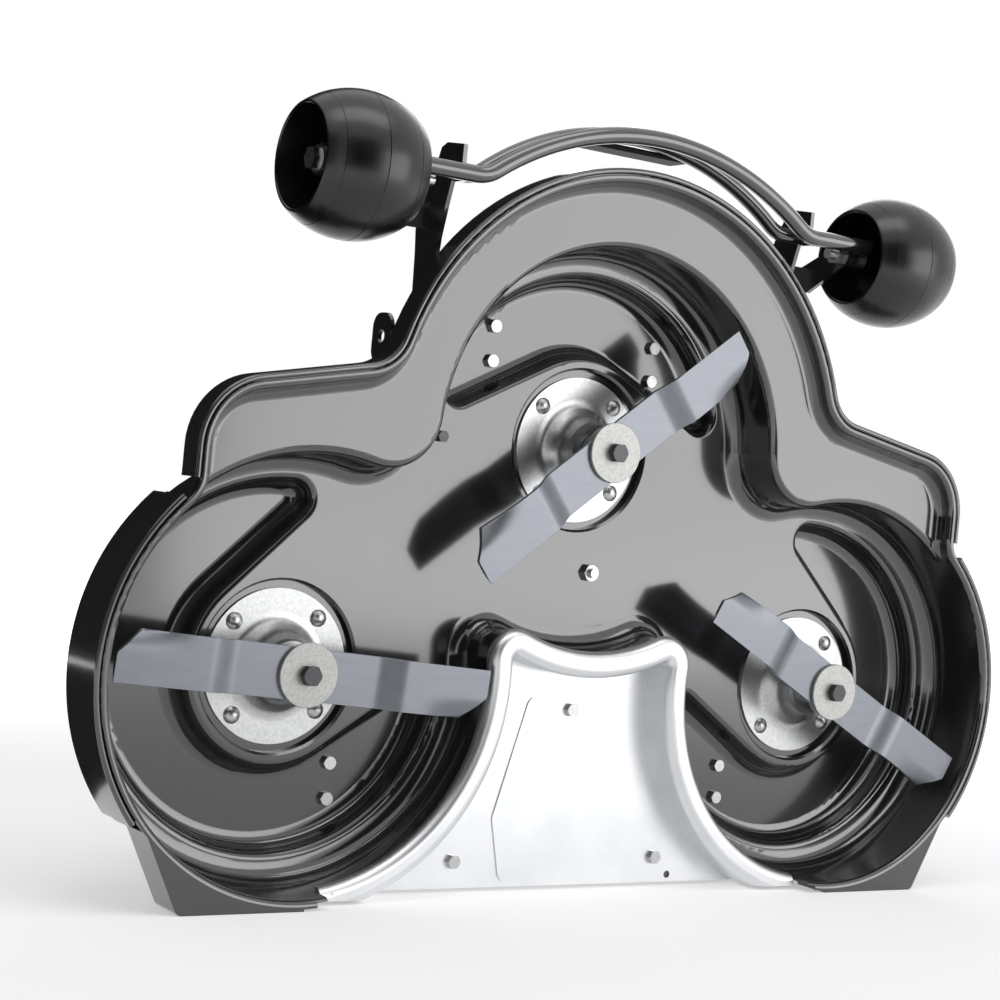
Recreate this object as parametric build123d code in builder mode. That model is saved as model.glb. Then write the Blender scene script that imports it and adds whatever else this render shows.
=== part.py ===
"""Three-blade mower deck, standing on its rear edge with the underside towards -Y.

X runs across the cut, Z from the rear edge to the nose. "Depth" is measured from the
rim plane into the deck, along +Y. All sizes are millimetres.
"""
import math
import os

from build123d import *

os.makedirs("parts", exist_ok=True)

# Cutting layout
BLADE_LENGTH = 397.0
BLADE_WIDTH = 50.0
BLADE_THICK = 4.5
TIP_GAP = 10.5
SWATH_OVERLAP = 66.0
BLADE_SPACING = 11.033
REAR_MARGIN = 10.0
CHAMBER_R = BLADE_LENGTH / 2 + TIP_GAP
SPINDLE_X = BLADE_LENGTH - SWATH_OVERLAP
SPINDLE_RISE = round(math.sqrt((BLADE_LENGTH + BLADE_SPACING) ** 2 - SPINDLE_X**2), 2)
REAR_SPINDLE_Z = CHAMBER_R + REAR_MARGIN
FRONT_SPINDLE_Z = REAR_SPINDLE_Z + SPINDLE_RISE
MIDWAY_X = SPINDLE_X / 2
MIDWAY_Z = REAR_SPINDLE_Z + SPINDLE_RISE / 2
BLADE_ANGLE = {"left": -4.0, "center": 38.0, "right": -28.0}
SPINDLES = {
    "left": (-SPINDLE_X, REAR_SPINDLE_Z),
    "center": (0.0, FRONT_SPINDLE_Z),
    "right": (SPINDLE_X, REAR_SPINDLE_Z),
}
SIDES = {"left": -1, "right": 1}

# Deck pressing
SHEET = 3.0
LIP = 12.0
LIP_FLAT = 8.0
LIP_ROUND = 6.0
LIP_EDGE = 1.5
BAND_DEPTH = 21.0
BAND_ROUND = 12.0
FLARE_ROUND = 8.0
PLATEAU_DEPTH = 86.0
CEILING_DEPTH = 115.0
WALL_ROUND = 20.0
FLOOR_ROUND = 16.0
SADDLE_ROUND = 7.0
SADDLE_R = 98.0
CHANNEL_INSET = 28.0
CHANNEL_CORNER = 18.0
WAIST_BLEND = 58.0
ISLAND_BLEND = 28.0
WAIST_X = MIDWAY_X + 70.5
WAIST_Z = MIDWAY_Z + 101.7
ISLAND_X = MIDWAY_X - 57.5
ISLAND_Z = MIDWAY_Z - 80.3
SADDLE_TIP_R = 6.0

# Rim outline
NOSE_MARGIN = 79.0
NOSE_R = CHAMBER_R + NOSE_MARGIN
NOSE_TOP = FRONT_SPINDLE_Z + NOSE_R
SHOULDER_OUT = 75.0
SHOULDER_SINK = 3.0
SHOULDER_X = SPINDLE_X + SHOULDER_OUT
SHOULDER_Z = REAR_SPINDLE_Z + CHAMBER_R - SHOULDER_SINK
SHOULDER_R = 71.0
SHOULDER_SLOPE = 11.0
SHOULDER_RUN = 180.0
SHOULDER_DROP = 80.0
NOSE_BLEND = 42.0
NOTCH_BLEND = 25.0
LOBE_R = CHAMBER_R + SHEET + LIP

# Skirt strips outside the rim
SKIRT_THICK = 6.0
SKIRT_SLIT = 0.8
SKIRT_SHEET = 2.5
SKIRT_ROUND = 2.7
SKIRT_ROLL = 6.0
SKIRT_FLANGE = 9.0
SKIRT_DEPTH = 30.0
SKIRT_STEP = 1.2
SKIRT_STEP_DEPTH = 38.0
SKIRT_SIDE_DEPTH = 68.0
SKIRT_NOTCH_Z = SHOULDER_Z - 29.0
SKIRT_TOP_ANGLE = 46.0
SKIRT_END_ANGLE = -38.0

# Feet and rear tunnel
FOOT_IN_X = SPINDLE_X - 6.0
FOOT_OUT_X = SPINDLE_X + LOBE_R - 100.0
FOOT_TOP_X = SPINDLE_X + LOBE_R - 63.0
FOOT_TOP_Z = REAR_SPINDLE_Z - 144.0
FOOT_ROUND = 8.0
FOOT_DEPTH = 45.0
TUNNEL_FLOOR = 62.0
TUNNEL_HALF = SPINDLE_X - 20.0
TUNNEL_TOP = ISLAND_Z + 42.0
CREST_HALF = SPINDLE_X - 31.0
PLATE_THICK = 2.0
PLATE_CREST = 21.0

# Rear tunnel plate
PANEL_DEPTH = TUNNEL_FLOOR - PLATE_THICK
PLATE_BEAD = 22.0
PLATE_LIP = 3.0
PLATE_LEG = 3.0
PLATE_BOTTOM = 4.0
PLATE_HALF = SPINDLE_X - 34.0
PLATE_ROUND = 10.0
UNDER_ROUND = PLATE_ROUND - PLATE_THICK
UNDER_REACH = UNDER_ROUND - (PLATE_LIP - PLATE_THICK)
UNDER_SAG = UNDER_ROUND - math.sqrt(UNDER_ROUND**2 - UNDER_REACH**2)
CREST_DEPTH = PLATE_CREST + PLATE_THICK + UNDER_SAG + 0.5
PLATE_EMBOSS = 1.6
EMBOSS_TOP = 52.0
EMBOSS_OVER = 12.0
EMBOSS_WIDE = 85.0
EMBOSS_WIDE_Z = 75.0
EMBOSS_FOOT = 70.0
EMBOSS_FOOT_Z = 10.0
EMBOSS_ROUND = 10.0
DRAIN_X = 149.0
DRAIN_Z = 12.0
DRAIN_R = 4.0
PLATE_BOLTS = [(0.0, ISLAND_Z - 70.0), (-127.5, 31.5), (127.5, 31.5)]

# Spindles
SEAT_R = 84.0
SEAT_DEPTH = 94.5
SEAT_CHAMFER = 2.5
FLANGE_R = 76.0
FLANGE_THICK = 2.5
BARREL_R = 31.0
BARREL_GAP = 1.0
HUB_R = 28.0
HUB_DEPTH = 60.0
BARREL_TOP = 150.0
BEARING_R = 23.5
BEARING_WIDTH = 14.0
BEARING_FIT = 0.02
SHAFT_R = 10.0
RUN_FIT = 0.03
RUN_GAP = 0.3
SHAFT_TOP = 196.0
COLLAR_R = 27.0
COLLAR_THICK = 7.0
SHAFT_NECK_R = 17.0
FLANGE_BOLT_R = 64.0
FLANGE_BOLT_TURN = 49.0
M8_R = 4.0
M8_HOLE_R = 4.25
M8_AF = 13.0
M8_HEAD = 5.5
M8_NUT = 6.5
DOME_R = 8.5
DOME_HEIGHT = 5.0

# Blade stack
WASHER_FACE = 21.7
WASHER_THICK = 4.3
WASHER_R = 31.0
BLADE_FACE = WASHER_FACE + WASHER_THICK
BLADE_JOGGLE = 10.0
BLADE_BOLT_R = 6.0
BLADE_BOLT_AF = 18.0
BLADE_BOLT_HEAD = 8.0
BLADE_BOLT_LENGTH = 34.0
WING_RISE = 12.0
WING_WIDTH = 20.0
JOGGLE_FROM = 75.0
JOGGLE_TO = 105.0
EDGE_WIDTH = 12.0
EDGE_CLEAR = 8.5
EDGE_LENGTH = BLADE_LENGTH / 2 - JOGGLE_TO - EDGE_CLEAR
WING_CLEAR = 7.0
WING_LENGTH = EDGE_LENGTH - WING_CLEAR
TIP_CLIP = 11.0

# Pulleys
PULLEY_R = 66.0
PULLEY_ROOT_R = 53.0
PULLEY_HUB_R = 20.0
PULLEY_WIDTH = 23.0
PULLEY_HUB_WIDTH = 31.5
PULLEY_NUT_AF = 30.0
PULLEY_NUT = 10.0

# Gauge wheels
WHEEL_X = NOSE_R + 52.0
WHEEL_Z = NOSE_TOP - 47.6
WHEEL_DEPTH = 15.7
WHEEL_R = 70.7
WHEEL_WIDTH = 110.0
WHEEL_OPEN_R = 49.0
WHEEL_RIM = 3.5
WHEEL_SEAMS = (-40.0, 0.0, 40.0)
SEAM_DEPTH = 0.7
WHEEL_WEB = 10.0
WHEEL_HUB_R = 16.0
WHEEL_HUB_IN = 44.0
WHEEL_HUB_OUT = 35.0
AXLE_R = 6.0
AXLE_FIT = 0.05
AXLE_AF = 19.0
AXLE_NUT = 11.0
AXLE_HEAD = 8.0
AXLE_WASHER_R = 13.0
AXLE_WASHER = 2.7
AXLE_TAIL = 8.0
SPACER_R = 10.0

# Front tubes and wheel brackets
TUBE_R = 8.5
TUBE_DEPTH = -4.0
TUBE_Z = NOSE_TOP - 37.6
TUBE_ARCH_R = NOSE_R + 47.0
TUBE_ARCH_TOP = NOSE_TOP + 31.4
TUBE_BEND_R = 40.0
TUBE_END_X = WHEEL_X - WHEEL_HUB_IN - 4.0
ROD_R = 8.0
ROD_DEPTH = 36.0
ROD_Z = NOSE_TOP - 33.6
ROD_ARCH_R = NOSE_R + 18.0
ROD_ARCH_TOP = NOSE_TOP + 35.4
ROD_BEND_R = 30.0
STRAP_HALF = 70.0
STRAP_WIDTH = 34.0
STRAP_THICK = 6.0
BRACKET_X = NOSE_R - 66.0
BRACKET_THICK = 4.5
BRACKET_TOP = NOSE_TOP - 4.6
ARM_X = NOSE_R - 14.0
ARM_THICK = 5.0
ARM_BOSS_R = 13.0
ARM_FOOT_DEPTH = 66.0
ARM_FOOT_Z = NOSE_TOP - 87.6
ARM_FOOT_HEIGHT = 28.0
EAR_DEPTH = 135.0
EAR_Z = FRONT_SPINDLE_Z + 94.4
EAR_R = 18.0
BRACKET_FOOT_WIDTH = 18.0
BRACKET_FOOT_LOW = EAR_Z - 27.0
BRACKET_FOOT_HIGH = EAR_Z + 18.0

# Hangers
HANGER_FRONT_X = 103.0
HANGER_FRONT_Z = FRONT_SPINDLE_Z + 100.7
HANGER_REAR_X = SPINDLE_X - 81.0
HANGER_REAR_Z = REAR_SPINDLE_Z - 115.0
HANGER_PITCH = 36.0
HANGER_THICK = 4.0
HANGER_WIDTH = 30.0
HANGER_LENGTH = 64.0
HANGER_EAR_DEPTH = 64.0
HANGER_PIN_R = 6.5

# Idler
PIVOT_X = 26.0
PIVOT_Z = FRONT_SPINDLE_Z - 127.6
PIVOT_R = 5.0
PIVOT_FIT = 0.05
PIVOT_BOSS_R = 13.0
ARM_PLATE_THICK = 5.0
IDLER_REACH = 125.0
IDLER_R = 42.0
IDLER_HUB_R = 12.0
TAIL_REACH = 72.0
TAIL_ANGLE = 200.0
POST_X = 37.0 - CHAMBER_R
POST_Z = FRONT_SPINDLE_Z - 0.6
SPRING_R = 7.0
SPRING_WIRE = 2.4

# Belt covers
COVER_R = 100.0
COVER_TOP = 205.0
COVER_WALL = 2.5
COVER_ROUND = 14.0
COVER_LUG_R = 10.0
COVER_LUG_OUT = 24.0
COVER_LUG_THICK = 4.0
COVER_STUD_R = 3.0
COVER_LUG_ANGLES = (125.0, 205.0, 285.0)
COVER_MOUTH_HALF = 52.0
COVER_MOUTH_TURN = 36.0

# Frame: the rim plane's Y, so that the overall depth is centred on the origin
RIM_Y = -(WHEEL_DEPTH - WHEEL_R + COVER_TOP) / 2
OPEN = 1.0


def level(depth):
    """Work plane across the deck at a depth: local x is X, local y is Z."""
    return Plane.XZ.offset(-(RIM_Y + depth))


def section_at(x, z):
    """Plane through an axis along Y: local x is the radius, local y the depth."""
    return Plane(origin=(x, RIM_Y, z), x_dir=(1, 0, 0), z_dir=(0, 0, 1))


def axis_at(x, z):
    return Axis((x, RIM_Y, z), (0, 1, 0))


def save(part, name):
    part.label = name
    export_step(part, f"parts/{name}.step")


def prism(plan, near, far):
    """Extrude a plan sketch between two depths."""
    with BuildPart() as block:
        with BuildSketch(level(near)):
            add(plan)
        extrude(amount=near - far)
    return block.part


def edges_at(part, depth):
    return part.edges().filter_by_position(Axis.Y, RIM_Y + depth - 0.01, RIM_Y + depth + 0.01)


def rods(points, radius, near, far):
    """Round bars along Y, one at each (x, z)."""
    with BuildSketch() as discs:
        with Locations(*points):
            Circle(radius)
    return prism(discs.sketch, near, far)


def hexes(points, across_flats, near, far):
    with BuildSketch() as nuts:
        with Locations(*points):
            RegularPolygon(across_flats / 2, 6, major_radius=False)
    return prism(nuts.sketch, near, far)


def hex_heads(points, across_flats, crown, seat):
    """Hexagon bolt heads, their corners turned off at the crown."""
    flat = across_flats / 2
    corner = flat / math.cos(math.radians(30))
    turned_off = 0.6 * (corner - flat)
    with BuildPart() as heads:
        for x, z in points:
            with BuildSketch(section_at(x, z)):
                with BuildLine():
                    Polyline(
                        (0, crown), (flat, crown), (corner, crown + turned_off), (corner, seat), (0, seat),
                        close=True,
                    )
                make_face()
            revolve(axis=axis_at(x, z))
        add(hexes(points, across_flats, crown, seat), mode=Mode.INTERSECT)
    return heads.part


def turned(points, x, z):
    """Revolve a (radius, depth) outline about the axis along Y through (x, z)."""
    with BuildPart() as solid:
        with BuildSketch(section_at(x, z)):
            with BuildLine():
                Polyline(*points, close=True)
            make_face()
        revolve(axis=axis_at(x, z))
    return solid.part


def around(center, radius, angles):
    return [
        (
            center[0] + radius * math.cos(math.radians(angle)),
            center[1] + radius * math.sin(math.radians(angle)),
        )
        for angle in angles
    ]


# Plans of the deck, seen from the underside


def chamber_plan(grow):
    """Outline of the three joined blade chambers, grown outwards."""
    with BuildSketch() as plan:
        with Locations(*SPINDLES.values()):
            Circle(CHAMBER_R + grow)
        waists = plan.vertices().sort_by(Axis.Y)[-2:]
        fillet(waists, WAIST_BLEND - grow)
        inner = plan.vertices().filter_by(lambda v: abs(v.X) < SPINDLE_X / 2)
        fillet(inner.sort_by(Axis.Y)[:2], ISLAND_BLEND - grow)
    return plan.sketch


def shoulder_plan(side, inset):
    slope = math.radians(SHOULDER_SLOPE)
    inner_x = SHOULDER_X - SHOULDER_RUN * math.cos(slope)
    inner_z = SHOULDER_Z + SHOULDER_RUN * math.sin(slope)
    corners = [(SHOULDER_X, SHOULDER_Z), (SHOULDER_X, SHOULDER_Z - SHOULDER_DROP), (inner_x, inner_z)]
    with BuildSketch() as plan:
        with Locations(*[(side * x, z) for x, z in corners]):
            Circle(SHOULDER_R - inset)
        make_hull()
    return plan.sketch


def rim_plan(inset):
    """Outline of the rim, nose and shoulders and lobes, moved inwards."""
    side_x = SHOULDER_X + SHOULDER_R - inset
    lobe = LOBE_R - inset
    notch_z = REAR_SPINDLE_Z + math.sqrt(lobe**2 - (side_x - SPINDLE_X) ** 2)
    with BuildSketch() as plan:
        with Locations(SPINDLES["center"]):
            Circle(NOSE_R - inset)
        with Locations(SPINDLES["left"], SPINDLES["right"]):
            Circle(lobe)
        for side in SIDES.values():
            add(shoulder_plan(side, inset))
            with BuildLine():
                Polyline(
                    (0, REAR_SPINDLE_Z),
                    (side * SPINDLE_X, REAR_SPINDLE_Z),
                    (side * SHOULDER_X, SHOULDER_Z),
                    SPINDLES["center"],
                    close=True,
                )
            make_face()
        for side in SIDES.values():
            nose = (side * NOSE_R, SHOULDER_Z + SHOULDER_R + NOSE_BLEND, 0)
            fillet(plan.vertices().sort_by_distance(nose)[0], NOSE_BLEND + inset)
            notch = (side * side_x, notch_z, 0)
            fillet(plan.vertices().sort_by_distance(notch)[0], NOTCH_BLEND + inset)
    return plan.sketch


def channel_plan(name, grow):
    """Deep ring channel round the outer side of one spindle."""
    waists = [(-WAIST_X, WAIST_Z), (WAIST_X, WAIST_Z)]
    islands = [(-ISLAND_X, ISLAND_Z), (ISLAND_X, ISLAND_Z)]
    tips = {
        "left": [waists[0], islands[0]],
        "center": waists + islands,
        "right": [waists[1], islands[1]],
    }
    with BuildSketch() as saddle:
        with Locations(SPINDLES[name]):
            Circle(SADDLE_R - grow)
        with Locations(*tips[name]):
            Circle(SADDLE_TIP_R)
        make_hull()
    x, z = SPINDLES[name]
    with BuildSketch() as plan:
        with Locations((x, z)):
            Circle(CHAMBER_R - CHANNEL_INSET + grow)
        add(saddle.sketch, mode=Mode.SUBTRACT)
        ends = plan.vertices().sort_by(lambda v: -math.hypot(v.X - x, v.Y - z))[:2]
        fillet(ends, CHANNEL_CORNER + grow)
    return plan.sketch


def tunnel_plan(grow, bottom, half):
    """Area between the rear chambers, behind the tunnel plate."""
    with BuildSketch() as plan:
        with BuildLine():
            Polyline(
                (-half, bottom), (half, bottom), (half, REAR_SPINDLE_Z), (ISLAND_X, TUNNEL_TOP),
                (-ISLAND_X, TUNNEL_TOP), (-half, REAR_SPINDLE_Z), close=True,
            )
        make_face()
        add(chamber_plan(grow), mode=Mode.SUBTRACT)
        strays = plan.faces().sort_by(Axis.Y)[1:]
        for stray in strays:
            add(stray, mode=Mode.SUBTRACT)
    return plan.sketch


def foot_plan(side, inset):
    """Corner foot outside a rear lobe."""
    with BuildSketch() as plan:
        with BuildLine():
            Polyline(
                (side * FOOT_IN_X, 0),
                (side * FOOT_OUT_X, 0),
                (side * FOOT_TOP_X, FOOT_TOP_Z),
                (side * SPINDLE_X, REAR_SPINDLE_Z - CHAMBER_R / 2),
                close=True,
            )
        make_face()
        corner = plan.vertices().sort_by_distance((side * FOOT_OUT_X, 0, 0))[0]
        fillet(corner, FOOT_ROUND)
        if inset:
            offset(amount=-inset, mode=Mode.REPLACE)
            with Locations((side * SPINDLE_X, REAR_SPINDLE_Z)):
                Circle(CHAMBER_R + SHEET, mode=Mode.SUBTRACT)
    return plan.sketch


# Deck shell: outer form of the pressing less its inner form


def pan_form(grow, near):
    """Blade chambers with the raised centre and the ring channels."""
    floor = PLATEAU_DEPTH + grow
    with BuildPart() as form:
        with BuildSketch(level(near)):
            add(chamber_plan(grow))
        extrude(amount=near - floor)
        fillet(edges_at(form, floor), WALL_ROUND + grow)
    rim_centers = []
    channels = []
    for name in SPINDLES:
        plan = channel_plan(name, grow)
        rim_centers += [(e.center().X, e.center().Y) for e in plan.edges()]
        with BuildPart() as channel:
            with BuildSketch(level(floor - SADDLE_ROUND)):
                add(plan)
            extrude(amount=floor - SADDLE_ROUND - CEILING_DEPTH - grow)
            fillet(edges_at(channel, CEILING_DEPTH + grow), FLOOR_ROUND + grow)
        channels.append(channel.part)
    with BuildPart() as whole:
        add(form.part)
        for channel in channels:
            add(channel)
        rims = edges_at(whole, floor).filter_by(
            lambda e: any(math.dist((e.center().X, e.center().Z), c) < 0.5 for c in rim_centers)
        )
        fillet(rims, SADDLE_ROUND - grow)
    return whole.part


def apron_cut():
    """Space inside the rim wall: rounded lip above, rounded corner at the band below."""
    wall = LIP + SHEET
    with BuildPart() as cut:
        with BuildSketch(level(-OPEN)):
            add(rim_plan(LIP_FLAT))
        extrude(amount=-OPEN)
        with BuildSketch(level(0)):
            add(rim_plan(wall))
        extrude(amount=-BAND_DEPTH)
        fillet(edges_at(cut, BAND_DEPTH), BAND_ROUND)
        inner = [(e.center().X, e.center().Y) for e in rim_plan(wall).edges()]
        lip = edges_at(cut, 0).filter_by(
            lambda e: any(math.dist((e.center().X, e.center().Z), c) < 0.5 for c in inner)
        )
        fillet(lip, LIP_ROUND)
    return cut.part


def flare_cut():
    """Rounded edge where the band turns down into the chambers."""
    step = FLARE_ROUND + OPEN
    with BuildPart() as cut:
        with BuildSketch(level(BAND_DEPTH - OPEN)):
            add(chamber_plan(step))
        extrude(amount=-OPEN)
        with BuildSketch(level(BAND_DEPTH)):
            add(chamber_plan(0))
        extrude(amount=-2 * step)
        inner = [(e.center().X, e.center().Y) for e in chamber_plan(0).edges()]
        edge = edges_at(cut, BAND_DEPTH).filter_by(
            lambda e: any(math.dist((e.center().X, e.center().Z), c) < 0.5 for c in inner)
        )
        fillet(edge, FLARE_ROUND)
        add(prism(rim_plan(LIP + SHEET), BAND_DEPTH - 2 * OPEN, BAND_DEPTH + 3 * step), mode=Mode.INTERSECT)
    return cut.part


def hanger_points():
    points = []
    for side in SIDES.values():
        for x, z in ((HANGER_FRONT_X, HANGER_FRONT_Z), (HANGER_REAR_X, HANGER_REAR_Z)):
            points += [(side * x, z - HANGER_PITCH / 2), (side * x, z + HANGER_PITCH / 2)]
    return points


def flange_bolt_points(name):
    turns = [FLANGE_BOLT_TURN + 90 * k for k in range(4)]
    return around(SPINDLES[name], FLANGE_BOLT_R, turns)


def deck_shell():
    seat_back = SEAT_DEPTH + SHEET
    seat_cut = [
        (0, PLATEAU_DEPTH - OPEN),
        (SEAT_R + SEAT_CHAMFER, PLATEAU_DEPTH - OPEN),
        (SEAT_R + SEAT_CHAMFER, PLATEAU_DEPTH),
        (SEAT_R, PLATEAU_DEPTH + SEAT_CHAMFER),
        (SEAT_R, SEAT_DEPTH),
        (0, SEAT_DEPTH),
    ]
    with BuildPart() as lip:
        with BuildSketch(level(0)):
            add(rim_plan(SKIRT_THICK + SKIRT_SLIT))
        extrude(amount=-SHEET)
        fillet(edges_at(lip, 0), LIP_EDGE)
    with BuildPart() as shell:
        add(lip.part)
        with BuildSketch(level(0)):
            add(rim_plan(LIP))
        extrude(amount=-BAND_DEPTH - SHEET)
        add(pan_form(SHEET, 0))
        for side in SIDES.values():
            add(prism(foot_plan(side, 0), 0, FOOT_DEPTH))
        add(rods(SPINDLES.values(), SEAT_R + SHEET, PLATEAU_DEPTH, seat_back))
        add(pan_form(0, -OPEN), mode=Mode.SUBTRACT)
        add(apron_cut(), mode=Mode.SUBTRACT)
        add(flare_cut(), mode=Mode.SUBTRACT)
        add(prism(tunnel_plan(SHEET, -OPEN, TUNNEL_HALF), -OPEN, TUNNEL_FLOOR), mode=Mode.SUBTRACT)
        with BuildSketch(level(-OPEN)):
            with Locations((0, TUNNEL_TOP / 2)):
                Rectangle(2 * CREST_HALF, TUNNEL_TOP)
        extrude(amount=-OPEN - CREST_DEPTH, mode=Mode.SUBTRACT)
        add(prism(tunnel_plan(SHEET / 2, PLATE_BOTTOM, PLATE_HALF), TUNNEL_FLOOR, TUNNEL_FLOOR + SHEET))
        for side in SIDES.values():
            add(prism(foot_plan(side, SHEET), SHEET, FOOT_DEPTH + OPEN), mode=Mode.SUBTRACT)
        for name, (x, z) in SPINDLES.items():
            add(turned(seat_cut, x, z), mode=Mode.SUBTRACT)
            bolts = flange_bolt_points(name)
            add(rods(bolts, M8_HOLE_R, SEAT_DEPTH - OPEN, seat_back + OPEN), mode=Mode.SUBTRACT)
        bores = rods(SPINDLES.values(), BARREL_R + BARREL_GAP, SEAT_DEPTH - OPEN, seat_back + OPEN)
        add(bores, mode=Mode.SUBTRACT)
        holes = rods(hanger_points(), M8_HOLE_R, CEILING_DEPTH - OPEN, CEILING_DEPTH + SHEET + OPEN)
        add(holes, mode=Mode.SUBTRACT)
        plate_holes = rods(PLATE_BOLTS, M8_HOLE_R, TUNNEL_FLOOR - OPEN, TUNNEL_FLOOR + SHEET + OPEN)
        add(plate_holes, mode=Mode.SUBTRACT)
        for x, z, r in ((PIVOT_X, PIVOT_Z, PIVOT_R), (POST_X, POST_Z, M8_R)):
            hole = rods([(x, z)], r + M8_HOLE_R - M8_R, PLATEAU_DEPTH - OPEN, PLATEAU_DEPTH + SHEET + OPEN)
            add(hole, mode=Mode.SUBTRACT)
    return shell.part


save(deck_shell(), "deck_shell")


def front_ring(side, outer, inner):
    """Plan strip over both shoulders and round the nose, between two insets."""
    with BuildSketch() as plan:
        add(rim_plan(outer))
        add(rim_plan(inner), mode=Mode.SUBTRACT)
        with Locations((0, SKIRT_NOTCH_Z)):
            Rectangle(4 * SPINDLE_X, 4 * SPINDLE_X, align=(Align.CENTER, Align.MAX), mode=Mode.SUBTRACT)
    return plan.sketch


def lobe_ring(side, outer, inner):
    """Plan strip round the outer side of a rear lobe, between two insets."""
    center = (side * SPINDLE_X, REAR_SPINDLE_Z)
    angles = [SKIRT_TOP_ANGLE, SKIRT_END_ANGLE]
    if side < 0:
        angles = [180 - SKIRT_END_ANGLE, 180 - SKIRT_TOP_ANGLE]
    sweep_angle = angles[1] - angles[0]
    with BuildSketch() as plan:
        with BuildLine():
            far = CenterArc(center, LOBE_R - outer, angles[0], sweep_angle)
            near = CenterArc(center, LOBE_R - inner, angles[0], sweep_angle)
            Line(far @ 0, near @ 0)
            Line(far @ 1, near @ 1)
        make_face()
    return plan.sketch


def skirt_strip(ring, side, depth):
    """Rounded front edge, a flange against the rim wall, and the outer face."""
    with BuildPart() as roll:
        add(prism(ring(side, 0, SKIRT_THICK), 0, SKIRT_ROLL))
        fillet(edges_at(roll, 0).filter_by(lambda e: e.length > 2 * SKIRT_THICK), SKIRT_ROUND)
    with BuildPart() as strip:
        add(roll.part)
        add(prism(ring(side, 0, LIP), SKIRT_ROLL, SKIRT_FLANGE))
        add(prism(ring(side, 0, SKIRT_SHEET), SKIRT_FLANGE, min(depth, SKIRT_STEP_DEPTH)))
        if depth > SKIRT_STEP_DEPTH:
            lap = SKIRT_STEP_DEPTH - SKIRT_FLANGE
            lower = ring(side, SKIRT_STEP, SKIRT_STEP + SKIRT_SHEET)
            add(prism(lower, SKIRT_STEP_DEPTH - lap / 4, depth))
    return strip.part


save(skirt_strip(front_ring, 0, SKIRT_DEPTH), "skirt_band_front")
for side_name, side in SIDES.items():
    save(skirt_strip(lobe_ring, side, SKIRT_SIDE_DEPTH), f"skirt_band_{side_name}")


# Rear tunnel plate


def plate_plan(grow):
    return tunnel_plan(grow, PLATE_BOTTOM, PLATE_HALF)


def on_plate_edge(edge):
    spot = edge.center()
    low = abs(spot.Z - PLATE_BOTTOM) < 0.05
    return low or abs(abs(spot.X) - PLATE_HALF) < 0.05


def bead_form(outer, inner, near, far, rounding):
    with BuildSketch() as plan:
        add(plate_plan(outer))
        add(plate_plan(inner), mode=Mode.SUBTRACT)
    with BuildPart() as form:
        add(prism(plan.sketch, near, far))
        fillet(edges_at(form, near).filter_by(lambda e: not on_plate_edge(e)), rounding)
    return form.part


def emboss_plan():
    with BuildSketch() as plan:
        with BuildLine():
            Polyline(
                (-EMBOSS_TOP, PLATE_BOLTS[0][1] + EMBOSS_OVER),
                (EMBOSS_TOP, PLATE_BOLTS[0][1] + EMBOSS_OVER),
                (EMBOSS_WIDE, EMBOSS_WIDE_Z),
                (EMBOSS_FOOT, EMBOSS_FOOT_Z),
                (-EMBOSS_FOOT, EMBOSS_FOOT_Z),
                (-EMBOSS_WIDE, EMBOSS_WIDE_Z),
                close=True,
            )
        make_face()
        fillet(plan.vertices(), EMBOSS_ROUND)
    return plan.sketch


def plate_bolt_seat(point):
    return PANEL_DEPTH - (PLATE_EMBOSS if abs(point[0]) < EMBOSS_TOP else 0.0)


def rear_plate():
    outer = -PLATE_LIP
    inner = PLATE_BEAD + PLATE_THICK
    with BuildPart() as plate:
        add(bead_form(outer, inner, PLATE_CREST, TUNNEL_FLOOR, PLATE_ROUND))
        under = bead_form(
            outer + PLATE_THICK, PLATE_BEAD, PLATE_CREST + PLATE_THICK, TUNNEL_FLOOR + OPEN,
            PLATE_ROUND - PLATE_THICK,
        )
        add(under, mode=Mode.SUBTRACT)
        with BuildSketch() as leg:
            add(plate_plan(outer - OPEN))
            add(plate_plan(PLATE_BEAD), mode=Mode.SUBTRACT)
        leg_end = PLATE_CREST + PLATE_ROUND + PLATE_LEG
        add(prism(leg.sketch, leg_end, TUNNEL_FLOOR + OPEN), mode=Mode.SUBTRACT)
        add(prism(plate_plan(PLATE_BEAD), PANEL_DEPTH, TUNNEL_FLOOR))
        raised = prism(emboss_plan(), PANEL_DEPTH - PLATE_EMBOSS, PANEL_DEPTH)
        add(raised)
        add(rods(PLATE_BOLTS, M8_HOLE_R, PANEL_DEPTH - 2 * PLATE_THICK, TUNNEL_FLOOR + OPEN), mode=Mode.SUBTRACT)
        drain = rods([(DRAIN_X, DRAIN_Z)], DRAIN_R, PANEL_DEPTH - OPEN, TUNNEL_FLOOR + OPEN)
        add(drain, mode=Mode.SUBTRACT)
    return plate.part


save(rear_plate(), "rear_plate")

with BuildPart() as plate_bolts:
    for point in PLATE_BOLTS:
        seat = plate_bolt_seat(point)
        add(hex_heads([point], M8_AF, seat - M8_HEAD, seat))
        add(rods([point], M8_R, seat, TUNNEL_FLOOR + SHEET + M8_NUT + M8_R))
        add(hexes([point], M8_AF, TUNNEL_FLOOR + SHEET, TUNNEL_FLOOR + SHEET + M8_NUT))
save(plate_bolts.part, "plate_bolts")


# Spindles


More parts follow.
